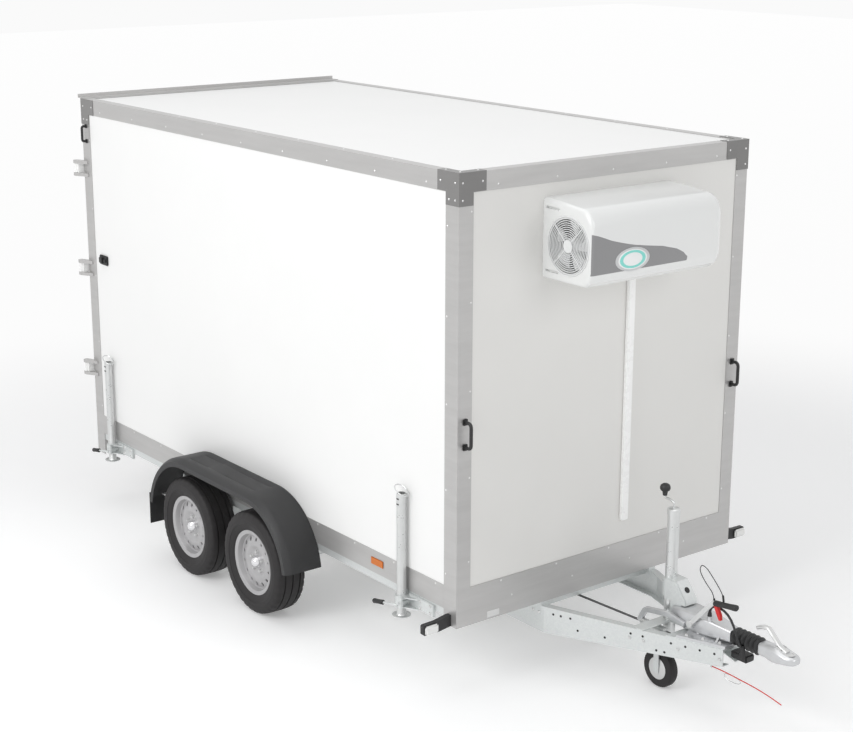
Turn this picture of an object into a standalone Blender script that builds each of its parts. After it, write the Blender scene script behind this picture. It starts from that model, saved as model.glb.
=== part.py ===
"""Refrigerated box trailer on a tandem axle, with its coupling, prop stands and cooling unit.

Frame while modelling: +X forward to the coupling, +Y to the trailer's left, +Z up, z = 0 on the
ground and x = 0 at the middle of the box. One empty carries every piece and moves the whole
trailer so that the origin ends under the middle of its overall length. Metres throughout.
"""
import math

import bmesh
import bpy
from mathutils import Matrix, Vector

for old in list(bpy.data.objects):
    bpy.data.objects.remove(old, do_unlink=True)

# Box: outside sizes, and the heights of its edges above the ground
BOX_LENGTH = 3.73
BOX_WIDTH = 1.90
ROOF_HEIGHT = 2.61
POST_FOOT_HEIGHT = 0.40
REAR_FOOT_HEIGHT = 0.335
FLOOR_UNDERSIDE = 0.477
WALL = 0.060
FLOOR = 0.100
SEAM = 0.0003
OVERRUN = 0.02
MOVING_GAP = 0.006

# Aluminium edge profiles
SHEET = 0.003
POST_SIDE_FACE = 0.098
POST_FRONT_FACE = 0.085
POST_REAR_FACE = 0.045
RIM_HEIGHT = 0.093
RIM_TOP_FACE = 0.060
SKIRT_HEIGHT = 0.120
SKIRT_RETURN = 0.020
CAP_SHEET = 0.0025
CAP_LEG = 0.155
CAP_ARM = 0.160
CAP_TOP_FACE = 0.052

# Rear frame, gutter and doors
JAMB_DEPTH = 0.066
JAMB_WIDTH = 0.042
HEADER_SHOW = 0.030
SILL_TOP = 0.597
GUTTER_REACH = 0.040
GUTTER_SEAT = 0.030
GUTTER_RISE = 0.022
GUTTER_SHEET = 0.003
DOOR_THICKNESS = 0.060
DOOR_MEETING_GAP = 0.014
HINGE_BACK = 0.036
HINGE_OUT = 0.036
HINGE_PIN_RADIUS = 0.007
HINGE_KNUCKLE_RADIUS = 0.013
HINGE_PLAY = 0.001
HINGE_STRAP = 0.110
HINGE_HEIGHT = 0.056
HINGE_EAR = 0.020
HINGE_SHEET = 0.006
HINGE_FOOT = 0.055
HINGE_LEVELS = (0.90, 1.55, 2.18)
BAR_RADIUS = 0.011
BAR_STANDOFF = 0.012
BAR_FROM_MEETING = 0.080
BAR_OVERREACH = 0.025
BAR_GUIDE = 0.050
BAR_GUIDE_LEVELS = (0.70, 1.05, 1.98, 2.38)
BAR_LEVER_LEVEL = 1.25
BAR_LEVER = 0.260
BAR_LEVER_WIDTH = 0.028

# Running gear
WHEEL_RADIUS = 0.290
TYRE_WIDTH = 0.185
RIM_RADIUS = 0.182
RIM_WIDTH = 0.150
RIM_SHEET = 0.006
WHEEL_STEPS = 32
TRACK = 2.113
AXLE_SPACING = 0.695
TANDEM_CENTRE = -0.0445
AXLE_TUBE = 0.060
AXLE_TUBE_FORWARD = 0.150
AXLE_TUBE_HEIGHT = 0.345
AXLE_ARM = 0.022
AXLE_ARM_DEEP = 0.052
SPINDLE_RADIUS = 0.020
SPINDLE_PLAY = 0.001
HUB_RADIUS = 0.060
MUDGUARD_RADIUS = 0.410
MUDGUARD_SHEET = 0.004
MUDGUARD_LIP = 0.022
MUDGUARD_OUTER = 1.170
MUDGUARD_END_HEIGHT = 0.350
FLAP_DROP = 0.150
FLAP_SHEET = 0.006

# Chassis and drawbar
RAIL_HEIGHT = 0.040
RAIL_WIDTH = 0.045
RAIL_INSET = 0.004
CROSS_MEMBER = 0.050
CHASSIS_BAYS = 5
DRAWBAR_FOLD_X = 1.880
DRAWBAR_FOLD_Y = 0.400
DRAWBAR_BEHIND_AXLE = 0.060
DRAWBAR_TIP_X = 2.780
DRAWBAR_TIP_Y = 0.068
DRAWBAR_TOP = 0.380
DRAWBAR_DEEP = 0.140
DRAWBAR_SHALLOW = 0.088
DRAWBAR_FLANGE = 0.045
DRAWBAR_SHEET = 0.005

# Prop stands at the four corners, raised for the road
PROP_FRONT_X = 1.465
PROP_REAR_X = -1.610
PROP_RADIUS = 0.024
PROP_FROM_BOX = 0.030
PROP_FOOT_HEIGHT = 0.345
PROP_LENGTH = 0.645
PROP_FOOT_RADIUS = 0.048
PROP_FOOT_SHEET = 0.006
PROP_PLAY = 0.001
CLAMP_RADIUS = 0.034
CLAMP_HEIGHT = 0.060
CLAMP_LEVEL = 0.425
CLAMP_ARM = 0.030
GRIP_REACH = 0.150
GRIP_ROD_RADIUS = 0.006
GRIP_RADIUS = 0.012

# Coupling, jockey wheel and handbrake
COUPLING_HEIGHT = 0.440
COUPLING_X = 2.500
HOUSING_END_X = 2.790
GAITER_END_X = 2.960
NOSE_X = 3.170
DRAW_TUBE_RADIUS = 0.025
JOCKEY_X = 2.360
JOCKEY_TUBE_RADIUS = 0.030
JOCKEY_TOP = 0.955
JOCKEY_TUBE_FOOT = 0.300
JOCKEY_STEM_RADIUS = 0.024
JOCKEY_WHEEL_RADIUS = 0.100
JOCKEY_WHEEL_WIDTH = 0.050
JOCKEY_TRAIL = 0.045
JOCKEY_FORK_SHEET = 0.006
JOCKEY_PIN_RADIUS = 0.008

# Cooling unit on the front wall
UNIT_WIDTH = 0.930
UNIT_DEPTH = 0.355
UNIT_FOOT = 2.020
UNIT_HEIGHT = 0.450
FAN_POCKET_RADIUS = 0.140
FAN_POCKET_DEPTH = 0.070
FAN_RADIUS = 0.120
CONDUIT_WIDTH = 0.046
CONDUIT_DEPTH = 0.022
CONDUIT_Y = 0.140
CONDUIT_FOOT = 0.720

HALF_LENGTH = BOX_LENGTH / 2
HALF_WIDTH = BOX_WIDTH / 2
WALL_FACE = HALF_WIDTH - SHEET - SEAM
FRONT_FACE = HALF_LENGTH - SHEET - SEAM
FLOOR_TOP = FLOOR_UNDERSIDE + FLOOR
ROOF_FACE = ROOF_HEIGHT - SHEET - SEAM
ROOF_UNDERSIDE = ROOF_FACE - WALL
RIM_FOOT = ROOF_HEIGHT - RIM_HEIGHT
HEADER_FOOT = RIM_FOOT - HEADER_SHOW
PANEL_REAR = -HALF_LENGTH + JAMB_DEPTH + SEAM
RIGHT, LEFT = -1, 1

TRAILER = bpy.data.objects.new("trailer", None)
bpy.context.collection.objects.link(TRAILER)
REAR_REACH = HALF_LENGTH + HINGE_BACK + HINGE_KNUCKLE_RADIUS
TRAILER.location.x = (REAR_REACH - NOSE_X) / 2


def finish_of(name, colour, roughness, metallic=0.0):
    """A Principled material in the colour of the photographed finish."""
    made = bpy.data.materials.new(name)
    made.use_nodes = True
    shader = made.node_tree.nodes["Principled BSDF"]
    shader.inputs["Base Color"].default_value = (*colour, 1.0)
    shader.inputs["Roughness"].default_value = roughness
    shader.inputs["Metallic"].default_value = metallic
    return made


WHITE_PANEL = finish_of("white_panel", (0.86, 0.86, 0.85), 0.35)
ALUMINIUM = finish_of("anodised_profile", (0.45, 0.45, 0.45), 0.40, 0.8)
DARK_CAP = finish_of("dark_cap", (0.20, 0.20, 0.20), 0.45, 0.3)
GALVANISED = finish_of("galvanised_steel", (0.60, 0.61, 0.60), 0.45, 0.8)
WHEEL_STEEL = finish_of("wheel_silver", (0.55, 0.55, 0.55), 0.35, 0.6)
RUBBER = finish_of("tyre_rubber", (0.02, 0.02, 0.02), 0.85)
BLACK_PLASTIC = finish_of("black_plastic", (0.03, 0.03, 0.03), 0.55)
MUDGUARD_PLASTIC = finish_of("mudguard_plastic", (0.05, 0.05, 0.05), 0.60)
UNIT_PLASTIC = finish_of("unit_plastic", (0.75, 0.76, 0.76), 0.35)
COUPLING_ZINC = finish_of("coupling_zinc", (0.62, 0.63, 0.65), 0.35, 0.9)
LAMP_RED = finish_of("lamp_red", (0.45, 0.02, 0.02), 0.20)
LAMP_CLEAR = finish_of("lamp_clear", (0.85, 0.85, 0.85), 0.15)
CABLE_RED = finish_of("cable_red", (0.60, 0.03, 0.02), 0.45)


def body_of(mesh_data):
    """A closed working solid from a bmesh, with every face turned outwards."""
    bmesh.ops.recalc_face_normals(mesh_data, faces=mesh_data.faces)
    mesh = bpy.data.meshes.new("solid")
    mesh_data.to_mesh(mesh)
    mesh_data.free()
    body = bpy.data.objects.new("solid", mesh)
    bpy.context.collection.objects.link(body)
    return body


def block(low, high, round_edge=0.0):
    """A box between two corners, its edges rounded by one flat where round_edge is given."""
    shape = bmesh.new()
    bmesh.ops.create_cube(shape, size=1.0)
    low, high = Vector(low), Vector(high)
    size, middle = high - low, (low + high) / 2
    for vert in shape.verts:
        vert.co = Vector(vert.co[i] * size[i] + middle[i] for i in range(3))
    if round_edge:
        bmesh.ops.bevel(shape, geom=shape.edges[:], offset=round_edge, segments=1, affect="EDGES")
    return body_of(shape)


def sided_block(x_range, y_range, z_range, side=LEFT, round_edge=0.0):
    """A block given on the left side, or its mirror on the right."""
    low_y, high_y = sorted(side * y for y in y_range)
    return block((x_range[0], low_y, z_range[0]), (x_range[1], high_y, z_range[1]), round_edge)


def loft(rings, closed_path=False):
    """Skins a list of like rings of points, and caps both ends unless the path is closed."""
    shape = bmesh.new()
    made = [[shape.verts.new(point) for point in ring] for ring in rings]
    count = len(made[0])
    spans = list(zip(made, made[1:] + made[:1])) if closed_path else list(zip(made, made[1:]))
    for ring, following in spans:
        for i in range(count):
            j = (i + 1) % count
            shape.faces.new((ring[i], ring[j], following[j], following[i]))
    if not closed_path:
        shape.faces.new(made[0])
        shape.faces.new(list(reversed(made[-1])))
    return body_of(shape)


def prism(outline, axis, low, high):
    """Extrudes an outline of (u, v) points along X, Y or Z."""
    def place(u, v, w):
        return {"X": (w, u, v), "Y": (u, w, v), "Z": (u, v, w)}[axis]
    return loft([[place(u, v, low) for u, v in outline], [place(u, v, high) for u, v in outline]])


def lathe(outline, centre, axis="Y", steps=32, facing=1.0):
    """Turns a closed outline of (along, radius) points; points on the axis become poles."""
    centre = Vector(centre)
    shape = bmesh.new()
    rings = []
    for along, radius in outline:
        ring = []
        for i in range(steps if radius > 0 else 1):
            angle = math.tau * i / steps
            a, b = radius * math.cos(angle), radius * math.sin(angle)
            offset = {"X": (facing * along, a, b), "Y": (a, facing * along, b), "Z": (a, b, facing * along)}[axis]
            ring.append(shape.verts.new(centre + Vector(offset)))
        rings.append(ring)
    for ring, following in zip(rings, rings[1:] + rings[:1]):
        for i in range(steps):
            j = (i + 1) % steps
            corners = [ring[i % len(ring)], ring[j % len(ring)], following[j % len(following)], following[i % len(following)]]
            distinct = list(dict.fromkeys(corners))
            if len(distinct) > 2:
                shape.faces.new(distinct)
    return body_of(shape)


def rod(start, end, radius, sides=12):
    """A round bar between two points."""
    start, end = Vector(start), Vector(end)
    along = (end - start).normalized()
    across = along.orthogonal().normalized()
    other = along.cross(across)
    rings = []
    for point in (start, end):
        ring = []
        for i in range(sides):
            angle = math.tau * i / sides
            ring.append(point + radius * (across * math.cos(angle) + other * math.sin(angle)))
        rings.append(ring)
    return loft(rings)


def bent_rod(points, radius, sides=8):
    """A round bar or cord along a line of points, with its rings mitred at the bends."""
    points = [Vector(point) for point in points]
    across = (points[1] - points[0]).normalized().orthogonal().normalized()
    rings = []
    for i, point in enumerate(points):
        before = (point - points[i - 1]).normalized() if i else (points[1] - point).normalized()
        after = (points[i + 1] - point).normalized() if i + 1 < len(points) else before
        along = (before + after).normalized()
        across = (across - along * across.dot(along)).normalized()
        other = along.cross(across)
        ring = []
        for k in range(sides):
            angle = math.tau * k / sides
            ring.append(point + radius * (across * math.cos(angle) + other * math.sin(angle)))
        rings.append(ring)
    return loft(rings)


def combine(body, others, operation):
    """Runs one exact Boolean for each of the other solids and uses them up."""
    for other in others:
        step = body.modifiers.new(operation.lower(), "BOOLEAN")
        step.operation = operation
        step.object = other
        step.solver = "EXACT"
        bpy.context.view_layer.update()
        graph = bpy.context.evaluated_depsgraph_get()
        mesh = bpy.data.meshes.new_from_object(body.evaluated_get(graph))
        body.modifiers.clear()
        body.data = mesh
        bpy.data.objects.remove(other, do_unlink=True)
    return body


def joined(body, *others):
    return combine(body, others, "UNION")


def cut(body, *others):
    return combine(body, others, "DIFFERENCE")


def keep(body, name, material, origin=(0.0, 0.0, 0.0), smooth_degrees=35.0):
    """Names a finished solid and hangs it on the trailer with its own origin at a given point."""
    body.name = name
    body.data.name = name
    body.data.transform(Matrix.Translation(-Vector(origin)))
    body.data.materials.clear()
    body.data.materials.append(material)
    body.data.shade_smooth()
    body.data.set_sharp_from_angle(angle=math.radians(smooth_degrees))
    body.location = origin
    body.parent = TRAILER
    return body


def side_name(side):
    return "right" if side == RIGHT else "left"


def make_panels():
    """Sandwich panels of the load space, each as thick as the whole wall."""
    wall_inside = WALL_FACE - WALL
    keep(block((PANEL_REAR, -WALL_FACE, FLOOR_UNDERSIDE), (FRONT_FACE, WALL_FACE, FLOOR_TOP)),
         "floor_panel", WHITE_PANEL)
    keep(block((PANEL_REAR, -WALL_FACE, ROOF_UNDERSIDE), (FRONT_FACE, WALL_FACE, ROOF_FACE)),
         "roof_panel", WHITE_PANEL)
    heights = (FLOOR_TOP + SEAM, ROOF_UNDERSIDE - SEAM)
    for side in (RIGHT, LEFT):
        wall = sided_block((PANEL_REAR, FRONT_FACE), (wall_inside, WALL_FACE), heights, side)
        keep(wall, side_name(side) + "_wall", WHITE_PANEL)
    inner = wall_inside - SEAM
    keep(block((FRONT_FACE - WALL, -inner, heights[0]), (FRONT_FACE, inner, heights[1])),
         "front_wall", WHITE_PANEL)


def corner_trim(end, face_width, foot):
    """Two corner posts and the skirt between them, bent from sheet: end is +1 front, -1 rear."""
    outer, inner = end * HALF_LENGTH, end * (HALF_LENGTH - SHEET)
    top = RIM_FOOT - SEAM
    low_x, high_x = sorted((outer, inner))
    skirt_top = FLOOR_UNDERSIDE + SKIRT_HEIGHT
    face = [(-HALF_WIDTH, foot), (HALF_WIDTH, foot), (HALF_WIDTH, top), (HALF_WIDTH - face_width, top),
            (HALF_WIDTH - face_width, skirt_top), (face_width - HALF_WIDTH, skirt_top),
            (face_width - HALF_WIDTH, top), (-HALF_WIDTH, top)]
    trim = prism(face, "X", low_x, high_x)
    for side in (RIGHT, LEFT):
        near, far = sorted((outer, end * (HALF_LENGTH - POST_SIDE_FACE)))
        flange = sided_block((near, far), (HALF_WIDTH - SHEET, HALF_WIDTH), (foot, top), side)
        trim = joined(trim, flange)
    return trim


def make_profiles():
    """Roof rim, corner posts with the end skirts, side skirts, corner caps and rain gutter."""
    section = [(0.0, RIM_FOOT), (0.0, ROOF_HEIGHT), (RIM_TOP_FACE, ROOF_HEIGHT),
               (RIM_TOP_FACE, ROOF_HEIGHT - SHEET), (SHEET, ROOF_HEIGHT - SHEET), (SHEET, RIM_FOOT)]
    corners = [(1, -1), (1, 1), (-1, 1), (-1, -1)]
    rings = [[(sx * (HALF_LENGTH - d), sy * (HALF_WIDTH - d), z) for d, z in section] for sx, sy in corners]
    keep(loft(rings, closed_path=True), "roof_rim", ALUMINIUM)
    keep(corner_trim(1, POST_FRONT_FACE, POST_FOOT_HEIGHT), "front_trim", ALUMINIUM)
    for side in (RIGHT, LEFT):
        reach = HALF_LENGTH - POST_SIDE_FACE - SEAM
        skirt = sided_block((-reach, reach), (HALF_WIDTH - SHEET, HALF_WIDTH),
                            (FLOOR_UNDERSIDE, FLOOR_UNDERSIDE + SKIRT_HEIGHT), side)
        keep(skirt, side_name(side) + "_skirt", ALUMINIUM)
    seat, base = -HALF_LENGTH + GUTTER_SEAT, ROOF_HEIGHT + SEAM
    edge = -HALF_LENGTH - GUTTER_REACH
    gutter = [(seat, base), (seat, base + GUTTER_SHEET), (edge + GUTTER_SHEET, base + GUTTER_SHEET),
              (edge + GUTTER_SHEET, base + GUTTER_RISE), (edge, base + GUTTER_RISE), (edge, base)]
    keep(prism(gutter, "Y", -HALF_WIDTH, HALF_WIDTH), "rain_gutter", ALUMINIUM)


def make_corner_caps():
    """Dark three-way caps over the upper corners, outside the rim and the posts."""
    out = CAP_SHEET + SEAM
    for end in (1, -1):
        for side in (RIGHT, LEFT):
            corner_x, corner_y = HALF_LENGTH + out, HALF_WIDTH + out
            top = ROOF_HEIGHT + SEAM
            lid_top = top + (CAP_SHEET if end > 0 else -SEAM * 2)
            arm_foot = ROOF_HEIGHT - RIM_HEIGHT
            face = [(0, 0), (0, CAP_LEG), (POST_SIDE_FACE, CAP_LEG), (POST_SIDE_FACE, RIM_HEIGHT),
                    (CAP_ARM, RIM_HEIGHT), (CAP_ARM, 0)]
            low, high = sorted((side * (corner_y - CAP_SHEET), side * corner_y))
            side_plate = prism([(end * (corner_x - u), lid_top - v) for u, v in face], "Y", low, high)
            low, high = sorted((end * (corner_x - CAP_SHEET), end * corner_x))
            end_width = POST_FRONT_FACE if end > 0 else POST_REAR_FACE
            face_end = [(0, 0), (0, CAP_LEG), (end_width, CAP_LEG), (end_width, RIM_HEIGHT),
                        (CAP_ARM, RIM_HEIGHT), (CAP_ARM, 0)]
            end_plate = prism([(side * (corner_y - u), lid_top - v) for u, v in face_end], "X", low, high)
            cap = joined(side_plate, end_plate)
            if end > 0:
                lid = [(0, 0), (0, CAP_ARM), (CAP_TOP_FACE, CAP_ARM), (CAP_TOP_FACE, CAP_TOP_FACE),
                       (CAP_ARM, CAP_TOP_FACE), (CAP_ARM, 0)]
                plate = prism([(end * (corner_x - u), side * (corner_y - v)) for u, v in lid], "Z", top, lid_top)
                cap = joined(cap, plate)
            ends = "front" if end > 0 else "rear"
            keep(cap, f"{ends}_{side_name(side)}_cap", DARK_CAP)


DOOR_FACE = -(HALF_LENGTH - SHEET - SEAM)
OPENING_HALF = WALL_FACE - JAMB_WIDTH
HINGE_X = -HALF_LENGTH - HINGE_BACK
HINGE_Y = HALF_WIDTH + HINGE_OUT


def make_rear_frame():
    """Welded door frame inside the rear corner sheets, and the fixed halves of the hinges."""
    low, high = REAR_FOOT_HEIGHT, ROOF_UNDERSIDE - SEAM
    outer = [(-WALL_FACE, low), (WALL_FACE, low), (WALL_FACE, high), (-WALL_FACE, high)]
    inner = [(-OPENING_HALF, SILL_TOP), (OPENING_HALF, SILL_TOP), (OPENING_HALF, HEADER_FOOT), (-OPENING_HALF, HEADER_FOOT)]
    rings = []
    for (outer_y, outer_z), (inner_y, inner_z) in zip(outer, inner):
        rings.append([(DOOR_FACE, outer_y, outer_z), (DOOR_FACE, inner_y, inner_z),
                      (PANEL_REAR - SEAM, inner_y, inner_z), (PANEL_REAR - SEAM, outer_y, outer_z)])
    keep(loft(rings, closed_path=True), "door_frame", ALUMINIUM)
    trim = corner_trim(-1, POST_REAR_FACE, REAR_FOOT_HEIGHT)
    for side in (RIGHT, LEFT):
        for level in HINGE_LEVELS:
            reach = HINGE_HEIGHT / 2 + HINGE_EAR + HINGE_PLAY
            pin = rod((HINGE_X, side * HINGE_Y, level - reach), (HINGE_X, side * HINGE_Y, level + reach), HINGE_PIN_RADIUS)
            ears = []
            for end in (-1, 1):
                near = level + end * (HINGE_HEIGHT / 2 + HINGE_PLAY)
                far = near + end * HINGE_EAR
                bottom, top = sorted((near, far))
                plate = [(HINGE_X - HINGE_KNUCKLE_RADIUS, HINGE_Y - HINGE_KNUCKLE_RADIUS),
                         (HINGE_X + HINGE_KNUCKLE_RADIUS, HINGE_Y + HINGE_KNUCKLE_RADIUS),
                         (HINGE_X - HINGE_KNUCKLE_RADIUS, HINGE_Y + HINGE_KNUCKLE_RADIUS)]
                foot_x = -HALF_LENGTH + HINGE_FOOT
                plate = [plate[0], plate[2], plate[1], (foot_x, HALF_WIDTH + HINGE_SHEET), (foot_x, HALF_WIDTH - SHEET / 2),
                         (-HALF_LENGTH + HINGE_SHEET, HALF_WIDTH - SHEET / 2)]
                ears.append(prism([(x, side * y) for x, y in plate], "Z", bottom, top))
            trim = joined(trim, *ears)
            trim = joined(trim, pin)
    keep(trim, "rear_trim", ALUMINIUM)


def make_doors():
    """Two insulated leaves, each with three hinge straps and a lock bar with its lever."""
    bottom, top = SILL_TOP + MOVING_GAP, HEADER_FOOT - MOVING_GAP
    outer_y, inner_y = OPENING_HALF - MOVING_GAP, DOOR_MEETING_GAP / 2
    strap_face = -HALF_LENGTH - MOVING_GAP
    bar_x = DOOR_FACE - BAR_STANDOFF - BAR_RADIUS
    bar_y = inner_y + BAR_FROM_MEETING
    for side in (RIGHT, LEFT):
        leaf = sided_block((DOOR_FACE, DOOR_FACE + DOOR_THICKNESS), (inner_y, outer_y), (bottom, top), side, HINGE_SHEET / 2)
        for level in HINGE_LEVELS:
            heights = (level - HINGE_HEIGHT / 2, level + HINGE_HEIGHT / 2)
            strap = sided_block((strap_face - HINGE_SHEET, strap_face), (outer_y - HINGE_STRAP, HINGE_Y), heights, side)
            pad = sided_block((strap_face - HINGE_SHEET / 2, DOOR_FACE + HINGE_SHEET), (outer_y - HINGE_STRAP, outer_y - SHEET), heights, side)
            knuckle = rod((HINGE_X, side * HINGE_Y, heights[0]), (HINGE_X, side * HINGE_Y, heights[1]), HINGE_KNUCKLE_RADIUS, 16)
            web = sided_block((HINGE_X, strap_face), (HINGE_Y - HINGE_SHEET, HINGE_Y), heights, side)
            bore = rod((HINGE_X, side * HINGE_Y, heights[0] - OVERRUN), (HINGE_X, side * HINGE_Y, heights[1] + OVERRUN), HINGE_PIN_RADIUS + HINGE_PLAY)
            leaf = cut(joined(leaf, pad, strap, web, knuckle), bore)
        origin = (HINGE_X, side * HINGE_Y, SILL_TOP)
        keep(leaf, side_name(side) + "_door", WHITE_PANEL, origin)
        bar = rod((bar_x, side * bar_y, bottom - BAR_OVERREACH), (bar_x, side * bar_y, top + BAR_OVERREACH), BAR_RADIUS)
        for level in BAR_GUIDE_LEVELS:
            guide = sided_block((bar_x - BAR_RADIUS / 2, DOOR_FACE - SEAM), (bar_y - BAR_GUIDE / 2, bar_y + BAR_GUIDE / 2),
                                (level - BAR_GUIDE / 4, level + BAR_GUIDE / 4), side)
            bar = joined(bar, guide)
        lever = sided_block((bar_x - BAR_RADIUS * 2, bar_x), (bar_y - BAR_LEVER_WIDTH / 2, bar_y + BAR_LEVER),
                            (BAR_LEVER_LEVEL - BAR_LEVER_WIDTH / 2, BAR_LEVER_LEVEL + BAR_LEVER_WIDTH / 2), side)
        keep(joined(bar, lever), side_name(side) + "_lock_bar", GALVANISED, origin)


def wheel_centres():
    return {"front": TANDEM_CENTRE + AXLE_SPACING / 2, "rear": TANDEM_CENTRE - AXLE_SPACING / 2}


def make_wheels():
    """Steel wheels with radial tyres, each turned about its own spindle."""
    half_rim, half_tyre = RIM_WIDTH / 2, TYRE_WIDTH / 2
    seat = RIM_RADIUS - RIM_SHEET * 3
    well = seat - RIM_SHEET
    bead = seat + SEAM
    rim = [(half_rim * 0.74, 0.0), (half_rim * 0.70, HUB_RADIUS * 0.5), (half_rim * 0.44, HUB_RADIUS * 0.58),
           (half_rim * 0.44, HUB_RADIUS), (half_rim * 0.74, HUB_RADIUS * 1.4), (half_rim * 0.66, well * 0.78),
           (half_rim * 0.40, well), (half_rim, well), (half_rim, RIM_RADIUS),
           (half_rim - RIM_SHEET, RIM_RADIUS), (half_rim - RIM_SHEET, seat), (RIM_SHEET - half_rim, seat),
           (RIM_SHEET - half_rim, RIM_RADIUS), (-half_rim, RIM_RADIUS), (-half_rim, well),
           (half_rim * 0.24, well), (half_rim * 0.56, well * 0.76), (half_rim * 0.30, HUB_RADIUS),
           (-half_rim * 0.75, HUB_RADIUS), (-half_rim * 0.75, SPINDLE_RADIUS + SPINDLE_PLAY),
           (half_rim * 0.30, SPINDLE_RADIUS + SPINDLE_PLAY), (half_rim * 0.30, 0.0)]
    grip = half_rim - RIM_SHEET - SEAM
    half_tread = half_tyre * 0.80
    rise = WHEEL_RADIUS - RIM_RADIUS
    side_wall = [(grip, bead), (grip, RIM_RADIUS + SEAM), (half_rim + SEAM, RIM_RADIUS + RIM_SHEET),
                 (half_tyre * 0.99, RIM_RADIUS + rise * 0.36), (half_tyre * 0.98, RIM_RADIUS + rise * 0.68),
                 (half_tyre * 0.88, RIM_RADIUS + rise * 0.92), (half_tread * 0.90, WHEEL_RADIUS - RIM_SHEET * 0.4),
                 (half_tread * 0.5, WHEEL_RADIUS)]
    tyre = side_wall + [(-u, r) for u, r in reversed(side_wall)]
    for end, x in wheel_centres().items():
        for side in (RIGHT, LEFT):
            centre = (x, side * TRACK / 2, WHEEL_RADIUS)
            name = f"{end}_{side_name(side)}"
            keep(lathe(rim, centre, "Y", WHEEL_STEPS, side), name + "_rim", WHEEL_STEEL, centre)
            keep(lathe(tyre, centre, "Y", WHEEL_STEPS, side), name + "_tyre", RUBBER, centre)


def make_axles():
    """Rubber-sprung trailing-arm axles: tube, arms and the spindles in the hubs."""
    half_rim = RIM_WIDTH / 2
    arm_outer = TRACK / 2 - TYRE_WIDTH / 2 - MOVING_GAP
    seat_outer = HALF_WIDTH - RAIL_INSET
    for end, x in wheel_centres().items():
        tube_x = x + AXLE_TUBE_FORWARD
        half = AXLE_TUBE / 2
        axle = block((tube_x - half, -arm_outer + AXLE_ARM / 2, AXLE_TUBE_HEIGHT - half),
                     (tube_x + half, arm_outer - AXLE_ARM / 2, AXLE_TUBE_HEIGHT + half), half / 5)
        for side in (RIGHT, LEFT):
            deep = AXLE_ARM_DEEP / 2
            outline = [(x - deep, WHEEL_RADIUS - deep), (x - deep, WHEEL_RADIUS + deep),
                       (tube_x + deep, AXLE_TUBE_HEIGHT + deep * 0.8), (tube_x + deep, AXLE_TUBE_HEIGHT - deep * 0.8)]
            low, high = sorted((side * (arm_outer - AXLE_ARM), side * arm_outer))
            arm = prism(outline, "Y", low, high)
            spindle = rod((x, side * (arm_outer - AXLE_ARM / 2), WHEEL_RADIUS),
                          (x, side * (TRACK / 2 + half_rim * 0.20), WHEEL_RADIUS), SPINDLE_RADIUS, 16)
            seat = sided_block((tube_x - half * 1.5, tube_x + half * 1.5), (seat_outer - RAIL_WIDTH, seat_outer),
                               (AXLE_TUBE_HEIGHT + half / 2, FLOOR_UNDERSIDE - SEAM - RAIL_HEIGHT - SEAM), side)
            axle = joined(axle, arm, spindle, seat)
        keep(axle, end + "_axle", GALVANISED)


def make_mudguards():
    """One shell over both wheels of a side: round ends, a flat top, a rolled outer lip and a flap."""
    centres = wheel_centres()
    drop = math.asin((MUDGUARD_END_HEIGHT - WHEEL_RADIUS) / MUDGUARD_RADIUS)
    steps = 10
    path = []
    for i in range(steps + 1):
        angle = math.pi - drop - (math.pi / 2 - drop) * i / steps
        path.append((centres["rear"], angle))
    for i in range(steps + 1):
        angle = math.pi / 2 - (math.pi / 2 - drop) * i / steps
        path.append((centres["front"], angle))
    inner = HALF_WIDTH + SEAM
    for side in (RIGHT, LEFT):
        rings = []
        for centre_x, angle in path:
            def at(y, depth):
                radius = MUDGUARD_RADIUS - depth
                return (centre_x + radius * math.cos(angle), side * y, WHEEL_RADIUS + radius * math.sin(angle))
            rings.append([at(inner, 0), at(MUDGUARD_OUTER, 0), at(MUDGUARD_OUTER, MUDGUARD_LIP),
                          at(MUDGUARD_OUTER - MUDGUARD_SHEET, MUDGUARD_LIP),
                          at(MUDGUARD_OUTER - MUDGUARD_SHEET, MUDGUARD_SHEET), at(inner, MUDGUARD_SHEET)])
        guard = loft(rings)
        rear = centres["rear"] - MUDGUARD_RADIUS + MUDGUARD_SHEET
        flap = sided_block((rear, rear + FLAP_SHEET), (inner + MUDGUARD_LIP, MUDGUARD_OUTER - MUDGUARD_SHEET * 2),
                           (MUDGUARD_END_HEIGHT - FLAP_DROP, MUDGUARD_END_HEIGHT + MUDGUARD_LIP * 2), side)
        keep(joined(guard, flap), side_name(side) + "_mudguard", MUDGUARD_PLASTIC)


PROP_Y = HALF_WIDTH + PROP_FROM_BOX
RAIL_TOP = FLOOR_UNDERSIDE - SEAM
RAIL_FOOT = RAIL_TOP - RAIL_HEIGHT


CHASSIS_FRONT, CHASSIS_REAR = FRONT_FACE - SHEET, PANEL_REAR
BAY_PITCH = (CHASSIS_FRONT - CHASSIS_REAR - CROSS_MEMBER) / CHASSIS_BAYS
CROSS_MEMBERS = [CHASSIS_REAR + i * BAY_PITCH for i in range(CHASSIS_BAYS + 1)]


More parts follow.
